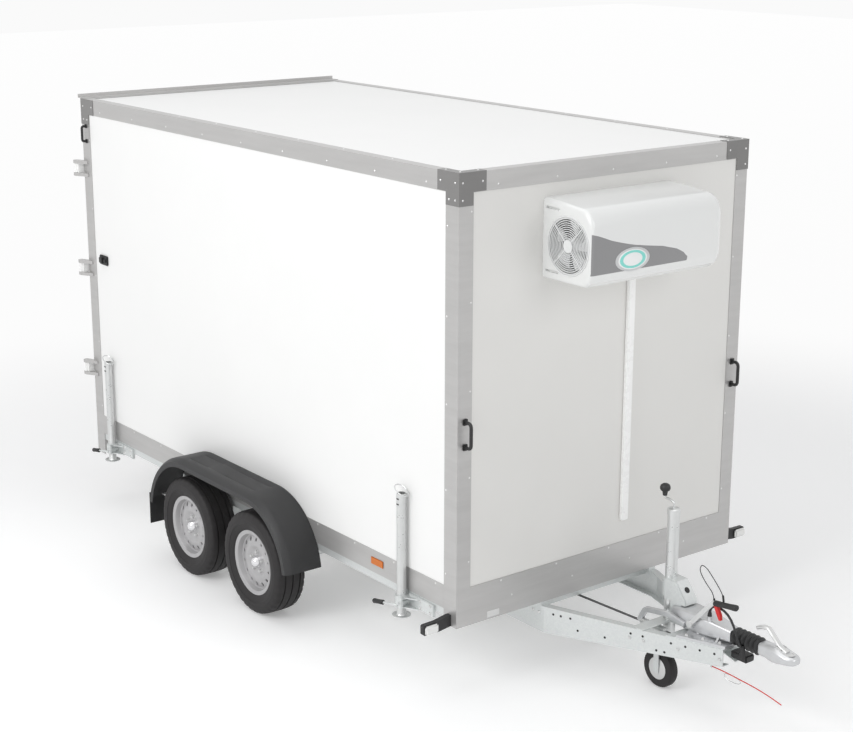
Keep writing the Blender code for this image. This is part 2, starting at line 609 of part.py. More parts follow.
def make_chassis():
    """Galvanised side rails and cross members under the floor, with the four stand clamps."""
    rail_outer = HALF_WIDTH - RAIL_INSET
    frame = block((CHASSIS_REAR, -rail_outer, RAIL_FOOT), (CHASSIS_FRONT, rail_outer, RAIL_TOP))
    inner_y = rail_outer - RAIL_WIDTH
    for rear in CROSS_MEMBERS[:-1]:
        hole = block((rear + CROSS_MEMBER, -inner_y, RAIL_FOOT - OVERRUN),
                     (rear + BAY_PITCH, inner_y, RAIL_TOP + OVERRUN))
        frame = cut(frame, hole)
    for prop_x in (PROP_FRONT_X, PROP_REAR_X):
        for side in (RIGHT, LEFT):
            low, high = CLAMP_LEVEL - CLAMP_HEIGHT / 2, CLAMP_LEVEL + CLAMP_HEIGHT / 2
            arm_top = min(high, RAIL_TOP - SEAM)
            arm = sided_block((prop_x - CLAMP_ARM / 2, prop_x + CLAMP_ARM / 2), (inner_y, PROP_Y - PROP_RADIUS / 2), (low, arm_top), side)
            sleeve = rod((prop_x, side * PROP_Y, low), (prop_x, side * PROP_Y, arm_top), CLAMP_RADIUS, 16)
            bore = rod((prop_x, side * PROP_Y, low - OVERRUN), (prop_x, side * PROP_Y, high + OVERRUN), PROP_RADIUS + PROP_PLAY, 24)
            frame = cut(joined(frame, arm, sleeve), bore)
    keep(frame, "chassis", GALVANISED)


def make_drawbar():
    """Two channel arms, straight under the box and drawn together to the coupling plate."""
    def channel(side, stations):
        rings = []
        for x, y, depth, slant in stations:
            flange, sheet = DRAWBAR_FLANGE, DRAWBAR_SHEET
            low, high = DRAWBAR_TOP - depth, DRAWBAR_TOP
            rings.append([(x, side * y, low), (x, side * y, high), (x, side * (y - flange), high),
                          (x, side * (y - flange), high - sheet), (x, side * (y - sheet), high - sheet),
                          (x, side * (y - sheet), low + sheet), (x, side * (y - flange), low + sheet),
                          (x, side * (y - flange), low)])
        return loft(rings)
    rear_x = wheel_centres()["front"] + AXLE_TUBE_FORWARD + AXLE_TUBE / 2 + DRAWBAR_BEHIND_AXLE
    stations = [(rear_x, DRAWBAR_FOLD_Y, DRAWBAR_DEEP, 0), (DRAWBAR_FOLD_X, DRAWBAR_FOLD_Y, DRAWBAR_DEEP, 0),
                (DRAWBAR_TIP_X, DRAWBAR_TIP_Y, DRAWBAR_SHALLOW, 0)]
    bar = channel(RIGHT, stations)
    plate_back = COUPLING_X
    def arm_y(x):
        share = (x - DRAWBAR_FOLD_X) / (DRAWBAR_TIP_X - DRAWBAR_FOLD_X)
        return DRAWBAR_FOLD_Y + (DRAWBAR_TIP_Y - DRAWBAR_FOLD_Y) * share
    sheet = DRAWBAR_SHEET
    plate = [(plate_back, arm_y(plate_back) - sheet), (DRAWBAR_TIP_X, DRAWBAR_TIP_Y - sheet),
             (DRAWBAR_TIP_X, sheet - DRAWBAR_TIP_Y), (plate_back, sheet - arm_y(plate_back))]
    top_plate = prism(plate, "Z", DRAWBAR_TOP - sheet * 1.5, DRAWBAR_TOP + sheet)
    bar = joined(bar, top_plate, channel(LEFT, stations))
    for tie_x in (rear_x + DRAWBAR_FLANGE, DRAWBAR_FOLD_X - DRAWBAR_FLANGE * 2):
        tie = block((tie_x, sheet / 2 - DRAWBAR_FOLD_Y, DRAWBAR_TOP - DRAWBAR_FLANGE), (tie_x + sheet, DRAWBAR_FOLD_Y - sheet / 2, DRAWBAR_TOP - sheet / 2))
        bar = joined(bar, tie)
    for member in CROSS_MEMBERS[-2:]:
        for side in (RIGHT, LEFT):
            pad = sided_block((member, member + CROSS_MEMBER), (DRAWBAR_FOLD_Y - DRAWBAR_FLANGE, DRAWBAR_FOLD_Y),
                              (DRAWBAR_TOP - sheet / 2, RAIL_FOOT - SEAM), side)
            bar = joined(bar, pad)
    keep(bar, "drawbar", GALVANISED)


def make_props():
    """Tubular corner stands that slide in their clamps, with a round foot and a carrying ring."""
    top = PROP_FOOT_HEIGHT + PROP_LENGTH
    for end, x in (("front", PROP_FRONT_X), ("rear", PROP_REAR_X)):
        for side in (RIGHT, LEFT):
            y = side * PROP_Y
            outline = [(PROP_FOOT_HEIGHT, 0.0), (PROP_FOOT_HEIGHT, PROP_FOOT_RADIUS),
                       (PROP_FOOT_HEIGHT + PROP_FOOT_SHEET, PROP_FOOT_RADIUS), (PROP_FOOT_HEIGHT + PROP_FOOT_SHEET, PROP_RADIUS),
                       (top, PROP_RADIUS), (top, 0.0)]
            stand = lathe(outline, (x, y, 0.0), "Z", 20)
            keep(stand, f"{end}_{side_name(side)}_prop", GALVANISED, (x, y, PROP_FOOT_HEIGHT))


def make_coupling():
    """Overrun housing on the drawbar, draw tube in its gaiter, ball head and handbrake."""
    base = DRAWBAR_TOP + DRAWBAR_SHEET + SEAM
    high = COUPLING_HEIGHT + DRAW_TUBE_RADIUS * 2
    wide = DRAWBAR_TIP_Y
    housing = block((COUPLING_X + OVERRUN, -wide * 0.8, base), (HOUSING_END_X, wide * 0.8, high), wide / 6)
    foot = block((COUPLING_X + OVERRUN, -wide, base), (HOUSING_END_X - OVERRUN, wide, base + DRAWBAR_SHEET * 2))
    bore = rod((COUPLING_X, 0, COUPLING_HEIGHT), (HOUSING_END_X + OVERRUN, 0, COUPLING_HEIGHT), DRAW_TUBE_RADIUS + SPINDLE_PLAY, 20)
    keep(cut(joined(housing, foot), bore), "coupling_housing", COUPLING_ZINC)
    tube = rod((COUPLING_X + OVERRUN * 2, 0, COUPLING_HEIGHT), (GAITER_END_X + OVERRUN * 2, 0, COUPLING_HEIGHT), DRAW_TUBE_RADIUS, 20)
    head = block((GAITER_END_X, -wide * 0.55, COUPLING_HEIGHT - wide * 0.45), (NOSE_X, wide * 0.55, COUPLING_HEIGHT + wide * 0.6), wide / 5)
    socket_x = NOSE_X - wide * 0.62
    socket = rod((socket_x, 0, COUPLING_HEIGHT - wide), (socket_x, 0, COUPLING_HEIGHT + wide * 0.2), DRAW_TUBE_RADIUS, 20)
    keep(cut(joined(tube, head), socket), "coupling_head", COUPLING_ZINC)
    folds = 6
    pitch = (GAITER_END_X - HOUSING_END_X - SEAM * 2) / folds
    outline = [(HOUSING_END_X + SEAM, DRAW_TUBE_RADIUS + SPINDLE_PLAY)]
    for i in range(folds):
        start = HOUSING_END_X + SEAM + i * pitch
        outline += [(start, DRAW_TUBE_RADIUS * 1.25), (start + pitch / 2, DRAW_TUBE_RADIUS * 1.7)]
    outline += [(GAITER_END_X - SEAM, DRAW_TUBE_RADIUS * 1.25), (GAITER_END_X - SEAM, DRAW_TUBE_RADIUS + SPINDLE_PLAY)]
    keep(lathe(outline, (0, 0, COUPLING_HEIGHT), "X", 20), "coupling_gaiter", RUBBER)
    side_y = -wide * 0.8 - DRAWBAR_SHEET
    lever = bent_rod([(COUPLING_X + wide * 0.6, side_y, COUPLING_HEIGHT), (COUPLING_X + wide, side_y, COUPLING_HEIGHT + wide * 0.7),
                      (HOUSING_END_X - wide, side_y, high + wide), (HOUSING_END_X + wide * 0.2, side_y, high + wide * 1.1)], DRAWBAR_SHEET)
    keep(lever, "handbrake_lever", COUPLING_ZINC)


def make_jockey():
    """Jockey wheel wound down to the ground: clamped outer tube, swivelling fork and its wheel."""
    outline = [(JOCKEY_TUBE_FOOT, JOCKEY_STEM_RADIUS + PROP_PLAY), (JOCKEY_TUBE_FOOT, JOCKEY_TUBE_RADIUS),
               (JOCKEY_TOP, JOCKEY_TUBE_RADIUS), (JOCKEY_TOP, 0.0), (JOCKEY_TOP - DRAWBAR_SHEET, 0.0),
               (JOCKEY_TOP - DRAWBAR_SHEET, JOCKEY_STEM_RADIUS + PROP_PLAY)]
    tube = lathe(outline, (JOCKEY_X, 0, 0), "Z", 24)
    share = (JOCKEY_X - DRAWBAR_FOLD_X) / (DRAWBAR_TIP_X - DRAWBAR_FOLD_X)
    reach = DRAWBAR_FOLD_Y + (DRAWBAR_TIP_Y - DRAWBAR_FOLD_Y) * share
    low = DRAWBAR_TOP + SEAM
    plate = block((JOCKEY_X - CLAMP_RADIUS, -reach, low), (JOCKEY_X + CLAMP_RADIUS, reach, low + DRAWBAR_SHEET))
    bore = rod((JOCKEY_X, 0, low - OVERRUN), (JOCKEY_X, 0, low + OVERRUN), JOCKEY_STEM_RADIUS + PROP_PLAY, 24)
    crank = bent_rod([(JOCKEY_X, 0, JOCKEY_TOP - DRAWBAR_SHEET / 2), (JOCKEY_X, 0, JOCKEY_TOP + CLAMP_RADIUS),
                      (JOCKEY_X - CLAMP_RADIUS * 2, 0, JOCKEY_TOP + CLAMP_RADIUS), (JOCKEY_X - CLAMP_RADIUS * 2, 0, JOCKEY_TOP + CLAMP_RADIUS * 3)],
                     JOCKEY_PIN_RADIUS)
    keep(joined(cut(plate, bore), tube, crank), "jockey_tube", GALVANISED)
    wheel_x = JOCKEY_X - JOCKEY_TRAIL
    axis = (wheel_x, 0, JOCKEY_WHEEL_RADIUS)
    crown = JOCKEY_WHEEL_RADIUS * 2 + MOVING_GAP * 2
    half = JOCKEY_WHEEL_WIDTH / 2 + MOVING_GAP
    stem = rod((JOCKEY_X, 0, crown), (JOCKEY_X, 0, JOCKEY_TUBE_FOOT + OVERRUN * 5), JOCKEY_STEM_RADIUS, 20)
    bridge = block((wheel_x - CLAMP_RADIUS, -half - JOCKEY_FORK_SHEET, crown), (JOCKEY_X + JOCKEY_STEM_RADIUS, half + JOCKEY_FORK_SHEET, crown + JOCKEY_FORK_SHEET))
    fork = joined(bridge, stem)
    for side in (RIGHT, LEFT):
        cheek = sided_block((wheel_x - CLAMP_RADIUS / 2, wheel_x + CLAMP_RADIUS / 2), (half, half + JOCKEY_FORK_SHEET),
                            (JOCKEY_WHEEL_RADIUS - CLAMP_RADIUS / 2, crown + JOCKEY_FORK_SHEET / 2), side)
        fork = joined(fork, cheek)
    pin = rod((wheel_x, -half - JOCKEY_FORK_SHEET / 2, JOCKEY_WHEEL_RADIUS), (wheel_x, half + JOCKEY_FORK_SHEET / 2, JOCKEY_WHEEL_RADIUS), JOCKEY_PIN_RADIUS)
    keep(joined(fork, pin), "jockey_fork", GALVANISED, (JOCKEY_X, 0, crown))
    wide, bore_radius = JOCKEY_WHEEL_WIDTH / 2, JOCKEY_PIN_RADIUS + SPINDLE_PLAY
    outline = [(-wide, bore_radius), (-wide, JOCKEY_WHEEL_RADIUS * 0.9), (-wide * 0.7, JOCKEY_WHEEL_RADIUS),
               (wide * 0.7, JOCKEY_WHEEL_RADIUS), (wide, JOCKEY_WHEEL_RADIUS * 0.9), (wide, bore_radius)]
    keep(lathe(outline, axis, "Y", 32), "jockey_wheel", RUBBER, axis)


def make_cooling_unit():
    """Moulded cover with its fan pocket in the right end, the guard, the rotor and the conduit."""
    back, front = FRONT_FACE + SEAM, FRONT_FACE + UNIT_DEPTH
    half, low, high = UNIT_WIDTH / 2, UNIT_FOOT, UNIT_FOOT + UNIT_HEIGHT
    cover = block((back, -half, low), (front, half, high), UNIT_DEPTH / 10)
    fan = (back + UNIT_DEPTH / 2, -half, (low + high) / 2)
    pocket = rod((fan[0], -half - OVERRUN, fan[2]), (fan[0], -half + FAN_POCKET_DEPTH, fan[2]), FAN_POCKET_RADIUS, 32)
    shaft = rod((fan[0], -half + FAN_POCKET_DEPTH / 2, fan[2]), (fan[0], -half + FAN_POCKET_DEPTH + OVERRUN, fan[2]), SPINDLE_RADIUS / 2, 12)
    keep(joined(cut(cover, pocket), shaft), "cooling_cover", UNIT_PLASTIC)
    hub_low, hub_high = -half + FAN_POCKET_DEPTH * 0.3, -half + FAN_POCKET_DEPTH * 0.8
    hub = [(hub_low, 0.0), (hub_low, FAN_RADIUS * 0.3), (hub_high, FAN_RADIUS * 0.3), (hub_high, SPINDLE_RADIUS / 2 + SPINDLE_PLAY),
           (-half + FAN_POCKET_DEPTH * 0.45, SPINDLE_RADIUS / 2 + SPINDLE_PLAY), (-half + FAN_POCKET_DEPTH * 0.45, 0.0)]
    rotor = lathe(hub, (fan[0], 0, fan[2]), "Y", 20)
    blades = 5
    for i in range(blades):
        angle = math.tau * i / blades
        spread = math.tau / blades * 0.32
        rings = []
        for radius in (FAN_RADIUS * 0.28, FAN_RADIUS):
            ring = []
            for a, y in ((angle - spread, hub_low + SHEET), (angle + spread, hub_high - SHEET * 2),
                         (angle + spread, hub_high - SHEET), (angle - spread, hub_low + SHEET * 2)):
                ring.append((fan[0] + radius * math.cos(a), y, fan[2] + radius * math.sin(a)))
            rings.append(ring)
        rotor = joined(rotor, loft(rings))
    keep(rotor, "fan_rotor", BLACK_PLASTIC, fan)
    wire = SHEET
    guard_y = -half - wire
    guard = None
    for ring_share in (1.0, 0.70, 0.40):
        radius = (FAN_POCKET_RADIUS + wire) * ring_share
        ring = lathe([(guard_y - wire / 2, radius - wire), (guard_y - wire / 2, radius + wire),
                      (-half - SEAM, radius + wire), (-half - SEAM, radius - wire)], (fan[0], 0, fan[2]), "Y", 20)
        guard = joined(guard, ring) if guard else ring
    for angle in (math.pi / 4, -math.pi / 4):
        step = Vector((math.cos(angle), 0, math.sin(angle))) * (FAN_POCKET_RADIUS + wire)
        middle = Vector((fan[0], guard_y, fan[2]))
        guard = joined(guard, rod(middle - step, middle + step, wire, 6))
    keep(guard, "fan_guard", BLACK_PLASTIC)
    conduit = block((back, CONDUIT_Y - CONDUIT_WIDTH / 2, CONDUIT_FOOT), (back + CONDUIT_DEPTH, CONDUIT_Y + CONDUIT_WIDTH / 2, UNIT_FOOT - SEAM), CONDUIT_DEPTH / 6)
    keep(conduit, "conduit", WHITE_PANEL)


make_panels()
make_profiles()
make_corner_caps()
make_rear_frame()
make_doors()
make_wheels()
make_axles()
make_mudguards()
make_chassis()
make_drawbar()
make_props()
make_coupling()
make_jockey()
make_cooling_unit()
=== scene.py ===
"""Looks of the refrigerated trailer: finishes, fine forms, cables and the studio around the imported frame."""
import math

import bmesh
import bpy
from mathutils import Matrix, Vector


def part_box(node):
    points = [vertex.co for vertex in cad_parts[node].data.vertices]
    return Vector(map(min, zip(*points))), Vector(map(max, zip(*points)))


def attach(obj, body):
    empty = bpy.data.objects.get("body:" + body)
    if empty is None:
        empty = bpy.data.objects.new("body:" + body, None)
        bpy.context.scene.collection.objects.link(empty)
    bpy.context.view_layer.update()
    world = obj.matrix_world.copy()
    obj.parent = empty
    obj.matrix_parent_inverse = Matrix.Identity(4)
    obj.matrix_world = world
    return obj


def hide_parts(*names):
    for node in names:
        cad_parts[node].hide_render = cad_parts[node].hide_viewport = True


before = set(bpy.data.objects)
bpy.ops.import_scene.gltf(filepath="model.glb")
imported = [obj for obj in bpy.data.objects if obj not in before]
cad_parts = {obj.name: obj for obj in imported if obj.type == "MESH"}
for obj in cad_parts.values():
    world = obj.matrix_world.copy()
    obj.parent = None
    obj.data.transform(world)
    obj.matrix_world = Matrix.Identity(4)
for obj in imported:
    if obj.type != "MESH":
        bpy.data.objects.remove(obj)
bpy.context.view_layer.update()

# Camera: the photograph's viewpoint, from the front right and above, with a moderately long lens.
CAMERA_PLACE = Vector((7.2028, -5.721, 3.8043))
CAMERA_TURN, CAMERA_TILT, CAMERA_ROLL = math.radians(52.4408), math.radians(15.2904), math.radians(0.1195)
PHOTO_WIDTH, SENSOR_WIDTH, FOCAL_PIXELS = 853, 36.0, 1713.9
camera_data = bpy.data.cameras.new("camera")
camera_data.sensor_width = SENSOR_WIDTH
camera_data.lens = FOCAL_PIXELS / PHOTO_WIDTH * SENSOR_WIDTH
camera = bpy.data.objects.new("camera", camera_data)
bpy.context.scene.collection.objects.link(camera)
camera.matrix_world = Matrix.Translation(CAMERA_PLACE)
for angle, axis in ((CAMERA_TURN, "Z"), (math.pi / 2 - CAMERA_TILT, "X"), (CAMERA_ROLL, "Z")):
    camera.matrix_world = camera.matrix_world @ Matrix.Rotation(angle, 4, axis)
bpy.context.scene.camera = camera
bpy.context.scene.view_settings.view_transform = "Standard"


# Node maths: one socket wrapped so that masks and colours read as expressions.
class Flow:
    """A node socket that adds Math nodes when it is used in an expression."""

    def __init__(self, tree, socket):
        self.tree, self.socket = tree, socket

    def math(self, operation, *values):
        return node(self.tree, "ShaderNodeMath", {"operation": operation}, *values)

    def __add__(self, other):
        return self.math("ADD", self, other)

    def __sub__(self, other):
        return self.math("SUBTRACT", self, other)

    def __mul__(self, other):
        return self.math("MULTIPLY", self, other)

    def __truediv__(self, other):
        return self.math("DIVIDE", self, other)

    def __rsub__(self, other):
        return self.math("SUBTRACT", other, self)

    def __rtruediv__(self, other):
        return self.math("DIVIDE", other, self)

    def __gt__(self, other):
        return self.math("GREATER_THAN", self, other)

    def __lt__(self, other):
        return self.math("LESS_THAN", self, other)

    __radd__, __rmul__ = __add__, __mul__


def node(tree, kind, settings=None, *values, output=0, **named):
    """Adds one node: its settings first, then its sockets by place or, with _ for a space, by name."""
    made = tree.nodes.new(kind)
    for name, value in (settings or {}).items():
        if name == "curve":
            made.color_ramp.interpolation = value
        elif name == "stops":
            ramp = made.color_ramp
            for place, colour in value[2:]:
                ramp.elements.new(place)
            for element, (place, colour) in zip(ramp.elements, sorted(value, key=lambda stop: stop[0])):
                element.position = place
                element.color = (*colour, 1.0) if len(colour) == 3 else colour
        else:
            setattr(made, name, value)
    sockets = list(zip(made.inputs, values))
    sockets += [(made.inputs[name.replace("_", " ")], value) for name, value in named.items()]
    for socket, value in sockets:
        if isinstance(value, Flow):
            tree.links.new(value.socket, socket)
        elif value is not None:
            plain_colour = isinstance(value, tuple) and socket.type == "RGBA"
            socket.default_value = (*value, 1.0) if plain_colour else value
    return None if output is None else Flow(tree, made.outputs[output])


# Cables at the coupling: a plastic-covered steel strand for the breakaway cable and its loop, and the
# plug's black rubber-sheathed lead. The strand hangs from the drawbar's lug, the loop is pushed over the
# handbrake's grip, and the lead leaves its gland on the housing and runs down to the parked plug.
BOX_X = (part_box("roof_rim")[0][0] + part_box("roof_rim")[1][0]) / 2
CORDS = {
    "breakaway_cable": ("red", (2.72, -0.07, 0.275), 0.0027, "bare",
                        ((0.0, 0.0, 0.0), (0.08, 0.0, 0.001), (0.18, 0.0, -0.003), (0.28, 0.0, -0.009),
                         (0.36, 0.0, -0.019), (0.43, 0.0, -0.032))),
    "safety_loop": ("black", (2.712, -0.066, 0.58), 0.0022, "object",
                    ((0.0, 0.0, 0.0), (-0.003, -0.002, 0.03), (-0.014, -0.006, 0.066),
                     (-0.042, -0.011, 0.096), (-0.074, -0.012, 0.128), (-0.092, -0.012, 0.158),
                     (-0.08, -0.012, 0.184), (-0.048, -0.011, 0.176), (-0.012, -0.009, 0.144),
                     (0.022, -0.007, 0.11), (0.047, -0.004, 0.076), (0.056, -0.002, 0.044),
                     (0.057, 0.0, 0.012))),
    "plug_cable": ("black", (2.66, -0.04, 0.505), 0.006, "object",
                   ((0.0, 0.0, 0.0007), (0.0, 0.0, 0.022), (0.012, -0.004, 0.048), (0.045, -0.01, 0.066),
                    (0.095, -0.017, 0.069), (0.14, -0.021, 0.051), (0.174, -0.023, 0.013),
                    (0.196, -0.022, -0.035), (0.209, -0.013, -0.072), (0.212, 0.003, -0.102),
                    (0.212, 0.006, -0.124))),
}
CURVE_STEPS, SPACING_RADII = 24, 5


def smooth_line(route, spacing):
    """Even points along a smooth curve through the route's own points."""
    route = [Vector(point) for point in route]
    padded = [route[0] * 2 - route[1]] + route + [route[-1] * 2 - route[-2]]
    fine = []
    for a, b, c, d in zip(padded, padded[1:], padded[2:], padded[3:]):
        for i in range(CURVE_STEPS):
            t = i / CURVE_STEPS
            fine.append((b * 2 + (c - a) * t + (a * 2 - b * 5 + c * 4 - d) * t ** 2
                         + (b * 3 - a - c * 3 + d) * t ** 3) / 2)
    fine.append(route[-1])
    lengths = [0.0]
    for a, b in zip(fine, fine[1:]):
        lengths.append(lengths[-1] + (b - a).length)
    count = max(2, round(lengths[-1] / spacing))
    points, at = [], 0
    for i in range(count + 1):
        goal = lengths[-1] * i / count
        while at + 2 < len(lengths) and lengths[at + 1] < goal:
            at += 1
        share = (goal - lengths[at]) / (lengths[at + 1] - lengths[at])
        points.append(fine[at].lerp(fine[at + 1], min(share, 1.0)))
    return points


def tone(red, green, blue):
    """A colour as the photograph's 0 to 255 values, turned to linear light."""
    return tuple(v / 12.92 if v <= 0.04045 else ((v + 0.055) / 1.055) ** 2.4
                 for v in (red / 255, green / 255, blue / 255))


def tint(tree, mask, low, high):
    """A colour that goes from low to high as the mask goes from 0 to 1."""
    return node(tree, "ShaderNodeMix", {"data_type": "RGBA"}, mask, None, None, None, None, None, low, high,
                output=2)


FINE_SCALE, GRAIN_SCALE, GRAIN_SHARE, RELIEF_STRENGTH = 9, 5, 0.7, 0.5


def surface(name, light, dark, scale, rough, metallic=0.0, coat=0.0, relief=0.0, stretch=(1, 1, 1),
            grains=False):
    """A finish on Object coordinates: two close tones, uneven gloss and a fine relief."""
    made = bpy.data.materials.new(name)
    made.use_nodes = True
    tree = made.node_tree
    shader = tree.nodes["Principled BSDF"]
    shader.inputs["Metallic"].default_value = metallic
    shader.inputs["Coat Weight"].default_value = coat
    place = node(tree, "ShaderNodeMapping", {}, node(tree, "ShaderNodeTexCoord", output=3), Scale=stretch)
    broad = node(tree, "ShaderNodeTexNoise", {}, Vector=place, Scale=scale, Detail=4.0, Roughness=0.6)
    fine = node(tree, "ShaderNodeTexNoise", {}, Vector=place, Scale=scale * FINE_SCALE, Detail=3.0)
    mask = broad
    if grains:
        cells = node(tree, "ShaderNodeTexVoronoi", {}, Vector=place, Scale=scale * GRAIN_SCALE, output=1)
        mask = node(tree, "ShaderNodeSeparateColor", {}, cells) * GRAIN_SHARE + broad * (1 - GRAIN_SHARE)
    tree.links.new(tint(tree, mask, tone(*dark), tone(*light)).socket, shader.inputs["Base Color"])
    low, high = rough
    gloss = mask * ((high - low) / 2) + fine * ((high - low) / 2) + low
    tree.links.new(gloss.socket, shader.inputs["Roughness"])
    if relief:
        bump = node(tree, "ShaderNodeBump", {}, Strength=RELIEF_STRENGTH, Distance=relief, Height=fine)
        tree.links.new(bump.socket, shader.inputs["Normal"])
    return made


def add_object(name, data, replaces=(), body="trailer"):
    """Links a piece, fixes it to its body and hides the nodes it stands for."""
    piece = bpy.data.objects.new(name, data)
    bpy.context.scene.collection.objects.link(piece)
    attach(piece, body)
    if replaces:
        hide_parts(*replaces)
    return piece


BLACK_PLASTIC = surface("black_plastic", (40, 40, 41), (28, 28, 29), 30, (0.42, 0.6), relief=0.0002)
RED_PLASTIC = surface("red_plastic", (214, 30, 28), (196, 24, 24), 30, (0.35, 0.5))
CORD_FINISHES = {"red": RED_PLASTIC, "black": BLACK_PLASTIC}
for cord_name, (colour, root, radius, far_end, route) in CORDS.items():
    root = Vector(root) + Vector((BOX_X, 0, 0))
    line = smooth_line([root + Vector(offset) for offset in route], radius * SPACING_RADII)
    strand = bpy.data.curves.new(cord_name, "CURVE")
    strand.dimensions = "3D"
    spline = strand.splines.new("POLY")
    spline.points.add(len(line) - 1)
    for point, at in zip(spline.points, line):
        point.co = (*at, 1.0)
    strand.bevel_depth = radius
    strand.bevel_resolution = 4
    strand.use_fill_caps = True
    strand.materials.append(CORD_FINISHES[colour])
    cable = add_object(cord_name, strand)
    run = sum((b - a).length for a, b in zip(line, line[1:]))


# Studio: a pale floor that fades into the pale background, an even sky, and two broad lamps high on the
# right and the front, so that the long side and the roof come out brightest and the shadow stays soft.
PALE = tone(250, 250, 250)
SKY_COLOUR, SKY_STRENGTH = (0.975, 0.985, 1.0), 0.42
NEAR_PAINT, NEAR_GLOW, BLACK = (0.86, 0.86, 0.86), (0.24, 0.24, 0.24), (0.0, 0.0, 0.0)
FLOOR_HALF, FADE_FROM, FADE_OVER = 40.0, 3.0, 4.0
world = bpy.data.worlds.new("studio")
world.use_nodes = True
bpy.context.scene.world = world
sky = world.node_tree
sky.nodes.clear()
CAMERA_RAY, GLOSSY_RAY, TRANSMISSION_RAY = 0, 3, 6
seen = sum(node(sky, "ShaderNodeLightPath", output=ray) for ray in (CAMERA_RAY, GLOSSY_RAY, TRANSMISSION_RAY))
seen = seen.math("MINIMUM", seen, 1.0)
glow = node(sky, "ShaderNodeBackground", {}, SKY_COLOUR, SKY_STRENGTH)
paper = node(sky, "ShaderNodeBackground", {}, PALE, 1.0)
node(sky, "ShaderNodeOutputWorld", {}, node(sky, "ShaderNodeMixShader", {}, seen, glow, paper), output=None)

floor_mesh = bpy.data.meshes.new("floor")
floor_corners = ((-1, -1), (1, -1), (1, 1), (-1, 1))
floor_mesh.from_pydata([(u * FLOOR_HALF, v * FLOOR_HALF, 0) for u, v in floor_corners], [], [(0, 1, 2, 3)])
paint = bpy.data.materials.new("floor_paint")
paint.use_nodes = True
tree = paint.node_tree
shader = tree.nodes["Principled BSDF"]
shader.inputs["Roughness"].default_value = 0.9
shader.inputs["Specular IOR Level"].default_value = 0.1
shader.inputs["Emission Strength"].default_value = 1.0
place = node(tree, "ShaderNodeTexCoord", output=3)
away = node(tree, "ShaderNodeVectorMath", {"operation": "LENGTH"}, place, output=1)
fade = node(tree, "ShaderNodeMapRange", {"interpolation_type": "SMOOTHSTEP"}, away, FADE_FROM,
            FADE_FROM + FADE_OVER)
tree.links.new(tint(tree, fade, NEAR_PAINT, BLACK).socket, shader.inputs["Base Color"])
tree.links.new(tint(tree, fade, NEAR_GLOW, PALE).socket, shader.inputs["Emission Color"])
floor_mesh.materials.append(paint)
floor = bpy.data.objects.new("floor", floor_mesh)
bpy.context.scene.collection.objects.link(floor)
LAMPS = {"side_lamp": ((1.0, -9.0, 6.5), (-0.5, 0.0, 1.2), 6.0, 435.0),
         "front_lamp": ((9.0, 1.5, 5.5), (1.0, 0.0, 1.3), 5.0, 150.0),
         "top_lamp": ((-0.5, -0.5, 9.0), (-0.5, 0.0, 0.0), 8.0, 215.0)}
for lamp_name, (place, aim, size, power) in LAMPS.items():
    lamp_data = bpy.data.lights.new(lamp_name, "AREA")
    lamp_data.size = size
    lamp_data.energy = power
    lamp = bpy.data.objects.new(lamp_name, lamp_data)
    towards = (Vector(aim) - Vector(place)).to_track_quat("-Z", "Y")
    lamp.matrix_world = Matrix.Translation(place) @ towards.to_matrix().to_4x4()
    bpy.context.scene.collection.objects.link(lamp)


# Box panels and doors: gel-coated sandwich panels in a soft white, glossy and almost flawless, which
# keep the CAD solids' own forms. The conduit down the front wall has the same white paint.
WHITE = surface("white_panel", (245, 245, 244), (241, 241, 240), 2, (0.3, 0.36), coat=0.1)
# The front wall takes a darker copy of the same white: painted shade for the front, which gets less light.
SHADED_FRONT_WHITE = surface("front_panel_painted_shade", (229, 228, 225), (225, 224, 221), 2, (0.3, 0.36), coat=0.1)


def dress(finish, *names):
    """Puts a finish on CAD nodes that keep their own form."""
    for name in names:
        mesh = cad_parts[name].data
        mesh.materials.clear()
        mesh.materials.append(finish)


dress(SHADED_FRONT_WHITE, "front_wall")
dress(WHITE, "roof_panel", "floor_panel", "left_wall", "right_wall", "left_door", "right_door")

# Edge profiles: natural anodised aluminium, brushed along the sheet and drawn over the panels' edges,
# with bright blind rivets in rows. The rivets are one mesh each for the box and for the corner caps.
BRUSHED = surface("brushed_profile", (196, 195, 194), (180, 179, 178), 3, (0.34, 0.44), metallic=0.6,
                  stretch=(1, 1, 10))
RIVET_METAL = surface("rivet_metal", (225, 225, 224), (205, 205, 205), 60, (0.25, 0.35), metallic=0.8)
CAP_GREY = surface("cap_grey", (128, 127, 126), (120, 119, 118), 6, (0.38, 0.46), coat=0.1)
dress(BRUSHED, "roof_rim", "front_trim", "rear_trim", "left_skirt", "right_skirt", "rain_gutter",
      "door_frame")
dress(CAP_GREY, "front_left_cap", "front_right_cap", "rear_left_cap", "rear_right_cap")
HALF_X, HALF_Y, ROOF = 1.865, 0.95, 2.61
POST_EDGE_X, POST_EDGE_Y, POST_REAR_Y = 0.086, 0.074, 0.036
RIM_LINE, RIM_TOP_LINE = 2.543, 0.034
SKIRT_LINE_LOW, SKIRT_LINE_HIGH = 0.492, 0.584
RIVET_RADIUS, RIVET_RISE, STUD_TOP_SHARE, STUD_EDGE = 0.0055, 0.0022, 0.62, 50
RIM_REACH, RIM_PITCH, RIM_TOP_SHIFT = 1.62, 0.405, 0.1
POST_LOW, POST_HIGH, POST_PITCH, POST_FRONT_SHIFT = 0.66, 2.36, 0.425, 0.07
SKIRT_REACH, SKIRT_PITCH, END_REACH, END_PITCH, END_SHIFT = 1.7, 0.34, 0.72, 0.36, 0.05
LOW_REACH, LOW_PITCH = 0.6, 0.4
SIDE_CAP_SPOTS = ((0.03, 0.125), (0.075, 0.125), (0.03, 0.045), (0.138, 0.045))
END_CAP_SPOTS = ((0.022, 0.125), (0.022, 0.045), (0.138, 0.045))
